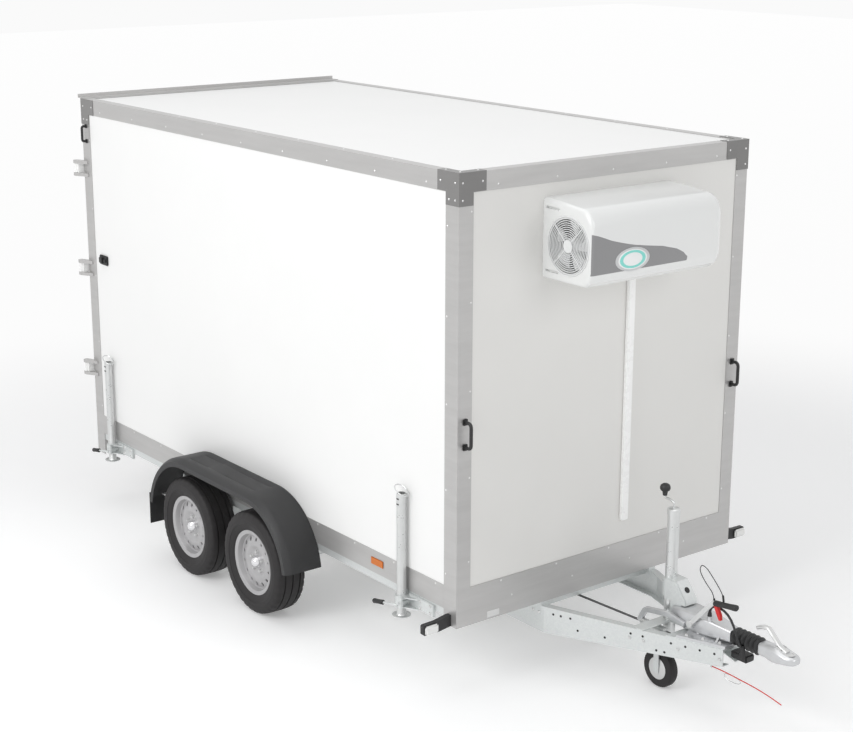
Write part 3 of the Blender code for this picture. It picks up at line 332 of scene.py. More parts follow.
TOP_CAP_SPOTS = ((0.026, 0.026), (0.13, 0.026), (0.026, 0.13))
CAP_PROUD = 0.0028


def studs(name, spots, radius, rise, finish, body="trailer", sides=8):
    """One piece of small domes or bolt heads at the given spots, each a (place, facing) pair."""
    cloud = bpy.data.meshes.new(name + "_spots")
    cloud.from_pydata([Vector(place) + Vector((BOX_X, 0, 0)) for place, facing in spots], [], [])
    facings = cloud.attributes.new("facing", "FLOAT_VECTOR", "POINT")
    for item, (place, facing) in zip(facings.data, spots):
        item.vector = facing
    carrier = bpy.data.objects.new(name + "_spots", cloud)
    bpy.context.scene.collection.objects.link(carrier)
    group = bpy.data.node_groups.new(name + "_group", "GeometryNodeTree")
    for socket, way, kind in (("Spots", "INPUT", "Geometry"), ("Radius", "INPUT", "Float"),
                              ("Rise", "INPUT", "Float"), ("Studs", "OUTPUT", "Geometry")):
        group.interface.new_socket(socket, in_out=way, socket_type="NodeSocket" + kind)
    spots_in = node(group, "NodeGroupInput")
    radius_in = Flow(group, spots_in.socket.node.outputs["Radius"])
    rise_in = Flow(group, spots_in.socket.node.outputs["Rise"])
    cone = node(group, "GeometryNodeMeshCone", {}, Vertices=sides, Radius_Top=radius_in * STUD_TOP_SHARE,
                Radius_Bottom=radius_in, Depth=rise_in)
    facing_in = node(group, "GeometryNodeInputNamedAttribute", {"data_type": "FLOAT_VECTOR"}, "facing")
    turn = node(group, "FunctionNodeAlignRotationToVector", {"axis": "Z"}, Vector=facing_in)
    placed = node(group, "GeometryNodeInstanceOnPoints", {}, Points=spots_in, Instance=cone, Rotation=turn)
    real = node(group, "GeometryNodeRealizeInstances", {}, placed)
    painted = node(group, "GeometryNodeSetMaterial", {}, real, Material=finish)
    node(group, "NodeGroupOutput", {}, painted, output=None)
    modifier = carrier.modifiers.new("studs", "NODES")
    modifier.node_group = group
    sizes = {"Radius": radius, "Rise": rise}
    for item in group.interface.items_tree:
        if item.name in sizes:
            modifier[item.identifier] = sizes[item.name]
    graph = bpy.context.evaluated_depsgraph_get()
    mesh = bpy.data.meshes.new_from_object(carrier.evaluated_get(graph))
    bpy.data.objects.remove(carrier, do_unlink=True)
    mesh.name = name
    mesh.shade_smooth()
    mesh.set_sharp_from_angle(angle=math.radians(STUD_EDGE))
    add_object(name, mesh, body=body)


def spread(low, high, pitch):
    """Even places from low to high, about one pitch apart."""
    count = max(1, round((high - low) / pitch))
    return [low + (high - low) * i / count for i in range(count + 1)]


rivets = []
for side in (-1, 1):
    out_y = (0, side, 0)
    for x in spread(-RIM_REACH, RIM_REACH, RIM_PITCH):
        rivets.append(((x, side * HALF_Y, RIM_LINE), out_y))
        rivets.append(((x + RIM_TOP_SHIFT, side * (HALF_Y - RIM_TOP_LINE), ROOF), (0, 0, 1)))
    for z in spread(POST_LOW, POST_HIGH, POST_PITCH):
        rivets.append(((HALF_X - POST_EDGE_X, side * HALF_Y, z), out_y))
        rivets.append(((POST_EDGE_X - HALF_X, side * HALF_Y, z), out_y))
        rivets.append(((HALF_X, side * (HALF_Y - POST_EDGE_Y), z + POST_FRONT_SHIFT), (1, 0, 0)))
        rivets.append(((-HALF_X, side * (HALF_Y - POST_REAR_Y), z), (-1, 0, 0)))
    for x in spread(-SKIRT_REACH, SKIRT_REACH, SKIRT_PITCH):
        rivets.append(((x, side * HALF_Y, SKIRT_LINE_HIGH), out_y))
for y in spread(-END_REACH, END_REACH, END_PITCH):
    rivets.append(((HALF_X, y, RIM_LINE), (1, 0, 0)))
    rivets.append(((-HALF_X, y, RIM_LINE), (-1, 0, 0)))
    rivets.append(((HALF_X, y + END_SHIFT, SKIRT_LINE_HIGH), (1, 0, 0)))
for y in spread(-LOW_REACH, LOW_REACH, LOW_PITCH):
    rivets.append(((HALF_X, y, SKIRT_LINE_LOW), (1, 0, 0)))
studs("box_rivets", rivets, RIVET_RADIUS, RIVET_RISE, RIVET_METAL)
cap_rivets = []
for end in (-1, 1):
    for side in (-1, 1):
        face_x, face_y = end * (HALF_X + CAP_PROUD), side * (HALF_Y + CAP_PROUD)
        for along, down in SIDE_CAP_SPOTS:
            cap_rivets.append(((face_x - end * along, face_y, ROOF - down), (0, side, 0)))
        for along, down in END_CAP_SPOTS:
            cap_rivets.append(((face_x, face_y - side * along, ROOF - down), (end, 0, 0)))
        if end > 0:
            for along, across in TOP_CAP_SPOTS:
                cap_rivets.append(((face_x - along, face_y - side * across, ROOF + CAP_PROUD), (0, 0, 1)))
studs("cap_rivets", cap_rivets, RIVET_RADIUS, RIVET_RISE, RIVET_METAL)


# Grab handles, door catches and the conduit: black moulded handles screwed beside the front posts and
# near the roof at the back, a black catch on each side wall that holds the open leaf, and the white
# cover of the cables that run down the front wall.
def circle(steps, reach_u, reach_v=None):
    """Points (u, v) of a circle, or of an oval where the second reach differs."""
    reach_v = reach_u if reach_v is None else reach_v
    turns = [math.tau * k / steps for k in range(steps)]
    return [(reach_u * math.cos(turn), reach_v * math.sin(turn)) for turn in turns]


class Shape:
    """A mesh in the making, in the box's frame. Side -1 mirrors it to the right of the trailer."""

    def __init__(self, side=1):
        self.mesh, self.side = bmesh.new(), side

    def corner(self, point):
        return self.mesh.verts.new((point[0], self.side * point[1], point[2]))

    def skin(self, rings, looped=False):
        """Joins like rings of points into one closed skin; a looped run of rings meets itself."""
        rows = [[self.corner(point) for point in ring] for ring in rings]
        for row, following in zip(rows, rows[1:] + rows[:1] if looped else rows[1:]):
            for i in range(len(row)):
                j = (i + 1) % len(row)
                self.mesh.faces.new((row[i], row[j], following[j], following[i]))
        if not looped:
            self.mesh.faces.new(rows[0])
            self.mesh.faces.new(reversed(rows[-1]))
        return self

    def slab(self, corner, opposite, edge=0.0, segments=2):
        """A box between two corners, its edges rounded."""
        flip = Vector((1, self.side, 1))
        corner, opposite = Vector(corner) * flip, Vector(opposite) * flip
        size = Vector(abs(a - b) for a, b in zip(corner, opposite))
        place = Matrix.LocRotScale((corner + opposite) / 2, None, size)
        verts = bmesh.ops.create_cube(self.mesh, size=1.0, matrix=place)["verts"]
        if edge:
            edges = list({rim for vert in verts for rim in vert.link_edges})
            bmesh.ops.bevel(self.mesh, geom=edges, offset=edge, segments=segments, affect="EDGES")
        return self

    def plate(self, outline, axis, low, high):
        """An outline of (u, v) points extruded along X, Y or Z."""
        order = {"X": (2, 0, 1), "Y": (0, 2, 1), "Z": (0, 1, 2)}[axis]
        return self.skin([[[(u, v, w)[i] for i in order] for u, v in outline] for w in (low, high)])

    def turned(self, outline, centre, axis="Y", steps=48):
        """Turns a closed outline of (along, radius) points round an axis; points on the axis are poles."""
        rows = []
        for along, radius in outline:
            row = []
            for u, v in circle(steps if radius > 0 else 1, radius):
                offset = {"X": (along, u, v), "Y": (u, along, v), "Z": (u, v, along)}[axis]
                row.append(self.corner([a + b for a, b in zip(centre, offset)]))
            rows.append(row)
        for row, following in zip(rows, rows[1:] + rows[:1]):
            for i in range(steps):
                quad = ((row, i), (row, i + 1), (following, i + 1), (following, i))
                corners = [ring[j % len(ring)] for ring, j in quad]
                corners = list(dict.fromkeys(corners))
                if len(corners) > 2:
                    self.mesh.faces.new(corners)
        return self

    def tube(self, points, radius, sides=12, looped=False):
        """A round bar along a line of points, of one radius or of one for each point."""
        points = [Vector(point) for point in points]
        radii = radius if isinstance(radius, (list, tuple)) else [radius] * len(points)
        last, across, rings = len(points) - 1, None, []
        for i, (point, radius) in enumerate(zip(points, radii)):
            before = points[i - 1] if i or looped else point
            after = points[(i + 1) % (last + 1)] if i < last or looped else point
            along = (after - before).normalized()
            across = across - along * across.dot(along) if across else along.orthogonal()
            across = across.normalized()
            other = along.cross(across)
            rings.append([point + across * u + other * v for u, v in circle(sides, radius)])
        return self.skin(rings, looped)

    def bar(self, points, section):
        """A flat bar bent in an upright plane; its section's (sideways, upwards) points follow the line."""
        points, rings = [Vector(point) for point in points], []
        for i, point in enumerate(points):
            along = (points[min(len(points) - 1, i + 1)] - points[max(0, i - 1)]).normalized()
            normal = Vector((0, 1, 0)).cross(along)
            rings.append([point + Vector((0, u, 0)) + normal * v for u, v in section])
        return self.skin(rings)

    def closed_mesh(self, name):
        """The shape as a mesh at the box's real place, facing outwards."""
        bmesh.ops.recalc_face_normals(self.mesh, faces=self.mesh.faces)
        bmesh.ops.translate(self.mesh, verts=self.mesh.verts, vec=(BOX_X, 0, 0))
        mesh = bpy.data.meshes.new(name)
        self.mesh.to_mesh(mesh)
        self.mesh.free()
        return mesh

    def finish(self, name, finish, slot=None, replaces=(), body="trailer", smooth=40.0):
        """The finished piece, fixed to its body."""
        mesh = self.closed_mesh(name)
        mesh.materials.append(finish)
        mesh.shade_smooth()
        mesh.set_sharp_from_angle(angle=math.radians(smooth))
        return add_object(name, mesh, replaces, body)


def rounded(points, reach, steps=6):
    """A line of points with each corner turned into a small curve."""
    points = [Vector(point) for point in points]
    line = [points[0]]
    for before, corner, after in zip(points, points[1:], points[2:]):
        start = corner + (before - corner).normalized() * reach
        end = corner + (after - corner).normalized() * reach
        for i in range(steps + 1):
            t = i / steps
            line.append(start * (1 - t) ** 2 + corner * 2 * t * (1 - t) + end * t ** 2)
    return line + [points[-1]]


SIDES = ((-1, "right"), (1, "left"))
POST_FACE, HANDLE_OUT, HANDLE_Y, HANDLE_LOW, HANDLE_HIGH = 1.8653, 1.9123, 0.906, 1.313, 1.437
HANDLE_BEND, HANDLE_BAR, FOOT_Y, FOOT_Z, FOOT_THICK = 0.022, 0.0085, 0.014, 0.016, 0.008
WALL_FACE, REAR_X, REAR_LOW, REAR_HIGH, REAR_OUT, REAR_BAR = 0.9503, -1.812, 2.352, 2.444, 0.03, 0.0075
CATCH_SLABS = (((-1.704, 0.9468, 1.6), (-1.604, 0.958, 1.66), 0.004),
               ((-1.69, 0.956, 1.612), (-1.65, 0.9707, 1.648), 0.003),
               ((-1.64, 0.956, 1.62), (-1.616, 0.966, 1.64), 0.003))
for side, side_name in SIDES:
    line = rounded([(POST_FACE, HANDLE_Y, HANDLE_LOW), (HANDLE_OUT, HANDLE_Y, HANDLE_LOW),
                    (HANDLE_OUT, HANDLE_Y, HANDLE_HIGH), (POST_FACE, HANDLE_Y, HANDLE_HIGH)], HANDLE_BEND)
    handle = Shape(side).tube(line, HANDLE_BAR)
    for z in (HANDLE_LOW, HANDLE_HIGH):
        handle.slab((POST_FACE, HANDLE_Y - FOOT_Y, z - FOOT_Z),
                    (POST_FACE + FOOT_THICK, HANDLE_Y + FOOT_Y, z + FOOT_Z), 0.003)
    handle.finish(f"front_{side_name}_handle", BLACK_PLASTIC, "black_plastic")
    out = WALL_FACE + REAR_OUT
    line = rounded([(REAR_X, WALL_FACE, REAR_LOW), (REAR_X, out, REAR_LOW), (REAR_X, out, REAR_HIGH),
                    (REAR_X, WALL_FACE, REAR_HIGH)], 0.014)
    handle = Shape(side).tube(line, REAR_BAR)
    for z in (REAR_LOW, REAR_HIGH):
        handle.slab((REAR_X - 0.012, WALL_FACE, z - 0.012),
                    (REAR_X + 0.012, WALL_FACE + 0.006, z + 0.012), 0.002)
    handle.finish(f"rear_{side_name}_handle", BLACK_PLASTIC, "black_plastic")
    catch = Shape(side)
    for corner, opposite, edge in CATCH_SLABS:
        catch.slab(corner, opposite, edge)
    catch.finish(f"{side_name}_door_catch", BLACK_PLASTIC, "black_plastic")
CONDUIT_WHITE = surface("conduit_white", (252, 252, 251), (250, 250, 249), 4, (0.25, 0.3))
conduit = Shape().slab((1.8618, 0.117, 0.72), (1.884, 0.163, 2.068), 0.004)
conduit.finish("conduit_cover", CONDUIT_WHITE, "painted", ["conduit"])

# Rear doors: each white leaf has a black rubber seal round its edge and a zinc-plated lock bar turned by
# a flat lever, held in four guides, with bolt heads on the hinge straps. All of it swings with the leaf.
SEAL_RUBBER = surface("seal_rubber", (46, 46, 47), (34, 34, 35), 20, (0.55, 0.7))
ZINC = surface("zinc_plate", (220, 220, 219), (204, 205, 205), 18, (0.28, 0.42), metallic=0.75)
LEAF_X, LEAF_IN, LEAF_OUT, LEAF_LOW, LEAF_HIGH, SEAL = -1.8617, 0.007, 0.8987, 0.603, 2.481, 0.014
BAR_X, BAR_Y, BAR_R, BAR_PAST = -1.8847, 0.087, 0.011, 0.025
GUIDE_LEVELS, GUIDE_Y, GUIDE_Z, LEVER_LEVEL, LEVER_REACH = (0.7, 1.05, 1.98, 2.38), 0.025, 0.0125, 1.25, 0.26
STRAP_FACE, STRAP_LEVELS, STRAP_BOLTS = -1.8771, (0.9, 1.55, 2.18), (0.815, 0.86)
SEAL_RUNS = (((LEAF_IN, LEAF_LOW), (LEAF_OUT, LEAF_LOW + SEAL)),
             ((LEAF_IN, LEAF_HIGH - SEAL), (LEAF_OUT, LEAF_HIGH)),
             ((LEAF_IN, LEAF_LOW + SEAL), (LEAF_IN + SEAL, LEAF_HIGH - SEAL)),
             ((LEAF_OUT - SEAL, LEAF_LOW + SEAL), (LEAF_OUT, LEAF_HIGH - SEAL)))
for side, side_name in SIDES:
    leaf, seal = f"{side_name}_door_leaf", Shape(side)
    for low, high in SEAL_RUNS:
        seal.slab((LEAF_X - 0.0024, *low), (LEAF_X - 0.0002, *high), 0.0008, 1)
    seal.finish(f"{side_name}_door_seal", SEAL_RUBBER, "rubber", body=leaf)
    low, high = LEAF_LOW - BAR_PAST, LEAF_HIGH + BAR_PAST
    outline = [(low, 0.0), (low, BAR_R), (high, BAR_R), (high, 0.0)]
    bar = Shape(side).turned(outline, (BAR_X, BAR_Y, 0), "Z", 20)
    for z in GUIDE_LEVELS:
        bar.slab((BAR_X - 0.014, BAR_Y - GUIDE_Y, z - GUIDE_Z),
                 (LEAF_X - 0.0003, BAR_Y + GUIDE_Y, z + GUIDE_Z), 0.003)
    bar.slab((BAR_X - 0.022, BAR_Y - 0.014, LEVER_LEVEL - 0.014),
             (BAR_X - 0.01, BAR_Y + LEVER_REACH, LEVER_LEVEL + 0.014), 0.004)
    bar.finish(f"{side_name}_lock_bar_fine", ZINC, "galvanised", [f"{side_name}_lock_bar"], leaf)
    heads = [((STRAP_FACE, side * y, z), (-1, 0, 0)) for z in STRAP_LEVELS for y in STRAP_BOLTS]
    studs(f"{side_name}_hinge_bolts", heads, 0.008, 0.005, ZINC, leaf, 6)

# Wheels: road tyres with three grooves round the tread and notched shoulders, on silver steel wheels
# pressed with fourteen slots, five zinc bolts and a bright cap over the hub. Each set turns on its hub.
WHEEL_X = {"front": 0.303, "rear": -0.392}
WHEEL_Y, WHEEL_R, HALF_RIM, RIM_R = 1.0565, 0.29, 0.075, 0.182
TYRE_RUBBER = surface("tyre_rubber", (30, 27, 28), (23, 21, 22), 14, (0.55, 0.72), relief=0.0004)
WHEEL_SILVER = surface("wheel_silver", (182, 181, 182), (170, 169, 170), 20, (0.3, 0.42), metallic=0.35,
                       coat=0.2)
CHROME = surface("hub_chrome", (235, 235, 236), (222, 222, 224), 10, (0.1, 0.18), metallic=0.95)
SIDE_SHARES = ((0.9, 0.912), (0.9, 0.985), (0.985, 1.005), (1.06, 1.05), (1.13, 1.12), (1.19, 1.21),
               (1.216, 1.215), (1.228, 1.235), (1.231, 1.29), (1.222, 1.33), (1.232, 1.345), (1.222, 1.362),
               (1.19, 1.44), (1.14, 1.5), (1.08, 1.545), (0.985, 1.572))
GROOVES, GROOVE_HALF, GROOVE_DEPTH, CROWN_FALL = (0.046, 0.0, -0.046), 0.0045, 0.006, 0.0022
NOTCH_EVERY, NOTCH_DEPTH, NOTCH_PAST, NOTCH_OUT, TYRE_STEPS = 4, 0.0045, 0.06, 0.27, 144
RIM_SHARES = ((0.54, 0.36), (0.58, 0.4), (0.68, 0.46), (0.72, 0.51), (0.71, 0.57), (0.66, 0.67), (0.57, 0.78),
              (0.54, 0.815), (0.57, 0.838), (0.66, 0.853), (0.88, 0.87), (0.945, 0.885), (0.965, 0.915),
              (0.972, 0.965), (1.0, 0.985), (1.0, 1.0), (0.92, 1.0), (0.92, 0.903), (-0.92, 0.903),
              (-0.92, 1.0), (-1.0, 1.0), (-1.0, 0.872), (0.44, 0.845), (0.46, 0.79), (0.55, 0.67),
              (0.6, 0.57), (0.6, 0.52), (0.55, 0.46), (0.44, 0.39), (-0.75, 0.33), (-0.75, 0.1154),
              (0.42, 0.1154), (0.42, 0.0), (0.54, 0.0))
SLOTS, SLOT_MIDDLE, SLOT_RADIAL, SLOT_ACROSS, SLOT_DEPTHS = 14, 0.129, 0.012, 0.0085, (-0.005, 0.07)
BOLT_CIRCLE, BOLTS, DISC_SHARE, RIM_STEPS = 0.056, 5, 0.54, 112
CAP_OUTLINE = ((0.04, 0.0), (0.04, 0.034), (0.05, 0.034), (0.055, 0.031), (0.065, 0.028), (0.073, 0.02),
               (0.077, 0.01), (0.078, 0.0))


def tyre_outline():
    """Closed outline: outer bead, outer wall, grooved tread, and the same wall inwards."""
    wall = [(a * HALF_RIM, r * RIM_R) for a, r in SIDE_SHARES]
    tread = []
    for middle in GROOVES:
        for share, depth in ((1.0, 0), (0.6, GROOVE_DEPTH), (-0.6, GROOVE_DEPTH), (-1.0, 0)):
            along = middle + GROOVE_HALF * share
            tread.append((along, WHEEL_R - CROWN_FALL * (along / HALF_RIM) ** 2 - depth))
    return wall + tread + [(-a, r) for a, r in reversed(wall)]


def cut(piece, shape):
    """Takes a shape out of a piece for good."""
    cutter = bpy.data.objects.new("cutter", shape.closed_mesh("cutter"))
    bpy.context.scene.collection.objects.link(cutter)
    cuts = piece.modifiers.new("cut", "BOOLEAN")
    cuts.operation, cuts.object, cuts.solver = "DIFFERENCE", cutter, "EXACT"
    left = bpy.data.meshes.new_from_object(piece.evaluated_get(bpy.context.evaluated_depsgraph_get()))
    piece.modifiers.clear()
    piece.data = left
    bpy.data.objects.remove(cutter, do_unlink=True)


for end, wheel_x in WHEEL_X.items():
    for side, side_name in SIDES:
        corner, hub = f"{end}_{side_name}", (wheel_x, WHEEL_Y, WHEEL_R)
        body = corner + "_wheel"
        tyre = Shape(side).turned(tyre_outline(), hub, steps=TYRE_STEPS)
        for vert in tyre.mesh.verts:
            x, y, z = vert.co - Vector((wheel_x, side * WHEEL_Y, WHEEL_R))
            out = math.hypot(x, z)
            step = round((math.atan2(z, x) / math.tau) % 1 * TYRE_STEPS)
            if abs(y) > NOTCH_PAST and out > NOTCH_OUT and step % NOTCH_EVERY == 0:
                shrink = (out - NOTCH_DEPTH) / out
                vert.co = Vector((wheel_x + x * shrink, vert.co.y, WHEEL_R + z * shrink))
        tyre.finish(corner + "_tread_tyre", TYRE_RUBBER, "tyre", [corner + "_tyre"], body, 30)
        rim = Shape(side).turned([(a * HALF_RIM, r * RIM_R) for a, r in RIM_SHARES], hub, steps=RIM_STEPS)
        rim = rim.finish(corner + "_slotted_rim", WHEEL_SILVER, "wheel_silver", [corner + "_rim"], body, 35)
        slots = Shape(side)
        for i in range(SLOTS):
            angle = math.tau * (i + 0.5) / SLOTS
            ring = [(wheel_x + (SLOT_MIDDLE + u) * math.cos(angle) - v * math.sin(angle),
                     WHEEL_R + (SLOT_MIDDLE + u) * math.sin(angle) + v * math.cos(angle))
                    for u, v in circle(20, SLOT_RADIAL, SLOT_ACROSS)]
            slots.skin([[(x, WHEEL_Y + depth, z) for x, z in ring] for depth in SLOT_DEPTHS])
        cut(rim, slots)
        bolts = []
        for i in range(BOLTS):
            angle = math.tau * (i + 0.25) / BOLTS
            bolts.append(((wheel_x + BOLT_CIRCLE * math.cos(angle), side * (WHEEL_Y + DISC_SHARE * HALF_RIM),
                           WHEEL_R + BOLT_CIRCLE * math.sin(angle)), (0, side, 0)))
        studs(corner + "_wheel_bolts", bolts, 0.0115, 0.014, ZINC, body, 6)
        cap = Shape(side).turned(CAP_OUTLINE, hub, steps=40)
        cap.finish(corner + "_hub_cap", CHROME, "wheel_silver", body=body, smooth=50)

# Mudguards: one black moulding over both wheels of a side, with a flat top, two pairs of creases along
# it, a shoulder that falls to the rolled outer lip, and a flexible flap behind the rear wheel.
GUARD_BLACK = surface("mudguard_black", (45, 45, 46), (39, 39, 40), 24, (0.46, 0.58), relief=0.0003)
GUARD_OUT, GUARD_R, GUARD_SHEET, GUARD_END, ARC_STEPS = 1.17, 0.41, 0.004, 0.35, 28
SHOULDER, SHOULDER_FALL, SHOULDER_STEPS, LIP = 0.04, 0.018, 4, 0.05
CREASE_LINES, CREASE_DEPTH, CREASE_HALF, CREASE_RAMP = (1.0028, 1.1018), 0.0035, 0.005, 0.008
CREASE_GAP, STAY_X, FLAP_BOLTS = (-0.1945, -0.0245), (-0.7, 0.612), (1.02, 1.11)
drop = math.asin((GUARD_END - WHEEL_R) / GUARD_R)
arc = [math.pi / 2 - (math.pi / 2 - drop) * i / ARC_STEPS for i in range(ARC_STEPS + 1)]
path = [(WHEEL_X["rear"], math.pi - angle, 0.0) for angle in reversed(arc)]
path += [(x, math.pi / 2, crease_share) for x, crease_share in (
    (WHEEL_X["rear"] + CREASE_RAMP, 1.0), (CREASE_GAP[0] - CREASE_RAMP, 1.0), (CREASE_GAP[0], 0.0),
    (CREASE_GAP[1], 0.0), (CREASE_GAP[1] + CREASE_RAMP, 1.0), (WHEEL_X["front"] - CREASE_RAMP, 1.0))]
path += [(WHEEL_X["front"], angle, 0.0) for angle in arc]


def guard_section(crease_share):
    """(y, depth) points of the sheet: the top from inside to the lip, then back underneath."""
    top = [(WALL_FACE, 0.0)]
    for line in CREASE_LINES:
        depth = CREASE_DEPTH * crease_share
        top += [(line - CREASE_HALF, 0.0), (line - CREASE_HALF * 0.3, depth),
                (line + CREASE_HALF * 0.3, depth), (line + CREASE_HALF, 0.0)]
    for i in range(SHOULDER_STEPS + 1):
        t = i / SHOULDER_STEPS
        top.append((GUARD_OUT - SHOULDER + (SHOULDER - GUARD_SHEET) * t, SHOULDER_FALL * t ** 1.6))
    under = [(min(y, GUARD_OUT - GUARD_SHEET), depth + GUARD_SHEET) for y, depth in reversed(top)]
    lip = [(GUARD_OUT, SHOULDER_FALL + GUARD_SHEET), (GUARD_OUT, LIP), (GUARD_OUT - GUARD_SHEET, LIP)]
    return top + lip + under


for side, side_name in SIDES:
    rings = []
    for x, angle, crease_share in path:
        rings.append([(x + (GUARD_R - depth) * math.cos(angle), y,
                       WHEEL_R + (GUARD_R - depth) * math.sin(angle))
                      for y, depth in guard_section(crease_share)])
    guard = Shape(side).skin(rings).slab((-0.798, 0.972, 0.2), (-0.792, 1.162, 0.394), 0.002, 1)
    guard.finish(side_name + "_mudguard_moulding", GUARD_BLACK, "mudguard", [side_name + "_mudguard"],
                 smooth=32)
    fixings = Shape(side)
    for x in STAY_X:
        fixings.slab((x - 0.02, 0.955, 0.395), (x + 0.02, 1.12, 0.402), 0.002, 1)
    outline = [(-0.8045, 0.0), (-0.8045, 0.008), (-0.798, 0.008), (-0.798, 0.0)]
    for y in FLAP_BOLTS:
        fixings.turned(outline, (0, y, 0.372), "X", 6)
    fixings.finish(side_name + "_mudguard_fixings", ZINC, "galvanised")

# Chassis, axles and drawbar: hot-dip galvanised steel, light and dull with a fine spangle, bolted
# together. The CAD solids keep their form; the bolts are added here, and the drawbar's punched holes
# as flat dark discs of painted shade.
GALVANISED = surface("galvanised", (218, 221, 220), (209, 212, 212), 26, (0.32, 0.46), metallic=0.5,
                     relief=0.0002, grains=True)
# A flat dark finish paints the shade inside punched holes and slots, which are not cut.
HOLE_SHADE = surface("painted_hole_shade", (38, 38, 39), (30, 30, 31), 30, (0.6, 0.7))
dress(GALVANISED, "chassis", "front_axle", "rear_axle", "drawbar", "jockey_fork")
ARM_FOLD, ARM_TIP, ARM_Y, TIP_Y, ARM_TOP = 1.88, 2.78, 0.4, 0.068, 0.38
ARM_HOLES = ((0.03, (1.93, 1.97, 2.02, 2.33, 2.39, 2.53, 2.6, 2.67, 2.74)), (0.085, (2.06, 2.2, 2.46, 2.5)))
ARM_BOLTS, RAIL_BOLTS, TOP_BOLTS = (2.325, 2.395, 2.565, 2.765), (1.74, 1.8, 1.845), (1.795, 1.835)


def arm_y(x):
    """Outer face of a drawbar arm."""
    return ARM_Y + (TIP_Y - ARM_Y) * max(0.0, (x - ARM_FOLD) / (ARM_TIP - ARM_FOLD))


bolts, holes = [], []
outwards = Vector((ARM_Y - TIP_Y, ARM_TIP - ARM_FOLD)).normalized()
for side in (-1, 1):
    facing = (outwards.x, side * outwards.y, 0)
    holes += [((x, side * arm_y(x), ARM_TOP - down), facing) for down, places in ARM_HOLES for x in places]
    bolts += [((x, side * arm_y(x), ARM_TOP - 0.052), facing) for x in ARM_BOLTS]
    bolts += [((x, side * ARM_Y, ARM_TOP - 0.04), (0, side, 0)) for x in RAIL_BOLTS]
    bolts += [((x, side * (ARM_Y - 0.022), ARM_TOP), (0, 0, 1)) for x in TOP_BOLTS]
studs("drawbar_bolts", bolts, 0.0095, 0.008, ZINC, sides=6)
studs("drawbar_holes", holes, 0.0065, 0.0006, HOLE_SHADE, sides=12)

# Corner stands: bright galvanised tubes with a disc foot and a wire carrying ring, which slide in boxy
# clamps bolted to the chassis. Each clamp has a cranked lever to the rear with a black plastic grip.
TUBE_ZINC = surface("bright_tube", (222, 223, 222), (198, 200, 200), 12, (0.22, 0.36), metallic=0.7)
STAND_X, STAND_Y, STAND_FOOT, STAND_TOP, STAND_R = {"front": 1.465, "rear": -1.61}, 0.98, 0.345, 0.99, 0.024
BORE_R, BORE_DEPTH, SLOT_LEVELS = 0.021, 0.06, (0.935, 0.963)
FOOT_OUTLINE = ((0.0, 0.0), (0.0, 0.046), (0.002, 0.048), (0.005, 0.048), (0.006, 0.046),
                (0.006, STAND_R + 0.004), (0.012, STAND_R))
RING_TILT, RING_X, RING_Z, RING_U, RING_V, RING_BAR = math.radians(25), 0.002, 1.004, 0.046, 0.029, 0.003
JAW = ((0.02, 1.01), (0.11, 0.962), (0.11, 0.95), (0.026, 0.95))
CLAMP_LEVER = ((0.01, 1.012, 0.407), (-0.03, 1.02, 0.404), (-0.16, 1.027, 0.379))
GRIP_START, GRIP_STOP = (-0.092, 1.0233, 0.3921), (-0.172, 1.0277, 0.3766)
GRIP_SHARES, GRIP_RADII = (0.0, 0.06, 0.55, 0.92, 1.0), (0.0095, 0.013, 0.0118, 0.013, 0.0095)
for end, x in STAND_X.items():
    for side, side_name in SIDES:
        corner = f"{end}_{side_name}"
        outline = [(STAND_FOOT + up, radius) for up, radius in FOOT_OUTLINE]
        outline += [(STAND_TOP - 0.001, STAND_R), (STAND_TOP, STAND_R - 0.001), (STAND_TOP, BORE_R),
                    (STAND_TOP - BORE_DEPTH, BORE_R), (STAND_TOP - BORE_DEPTH, 0.0)]
        ring = [(x + RING_X + u * math.cos(RING_TILT), STAND_Y + v, RING_Z - u * math.sin(RING_TILT))
                for u, v in circle(40, RING_U, RING_V)]
        stand = Shape(side).turned(outline, (x, STAND_Y, 0), "Z", 36).tube(ring, RING_BAR, 8, True)
        stand.finish(corner + "_stand_tube", TUBE_ZINC, "galvanised", [corner + "_prop"], corner + "_stand")
        # The slots are thin dark strips of painted shade laid on the tube, not cut through it.
        slots = Shape(side)
        for z in SLOT_LEVELS:
            slots.slab((x - 0.009, STAND_Y + 0.0225, z - 0.004),
                       (x + 0.009, STAND_Y + 0.0245, z + 0.004), 0.001, 1)
        slots.finish(corner + "_stand_slots", HOLE_SHADE, "galvanised", body=corner + "_stand")
        clamp = Shape(side).slab((x + 0.03, 0.94, 0.404), (x + 0.23, 0.958, 0.468), 0.003)
        for level in (0.4, 0.452):
            clamp.plate([(x + along, y) for along, y in JAW], "Z", level, level + 0.006)
        clamp.slab((x + 0.018, 1.008, 0.398), (x + 0.05, 1.018, 0.462), 0.003)
        clamp.tube([(x + 0.034, 0.95, 0.43), (x + 0.034, 1.03, 0.43)], 0.007)
        clamp.tube(rounded([(x + along, y, z) for along, y, z in CLAMP_LEVER], 0.012), 0.006)
        clamp.finish(corner + "_stand_clamp", GALVANISED, "galvanised")
        start, stop = Vector(GRIP_START) + Vector((x, 0, 0)), Vector(GRIP_STOP) + Vector((x, 0, 0))
        grip = Shape(side).tube([start.lerp(stop, share) for share in GRIP_SHARES], GRIP_RADII, 16)
        grip.finish(corner + "_clamp_grip", BLACK_PLASTIC, "black_plastic")
        heads = [((x + along, side * 0.958, z), (0, side, 0))
                 for along in (0.125, 0.205) for z in (0.418, 0.454)]
        heads.append(((x + 0.034, side * 1.018, 0.43), (0, side, 0)))
        studs(corner + "_clamp_bolts", heads, 0.009, 0.007, ZINC, sides=6)

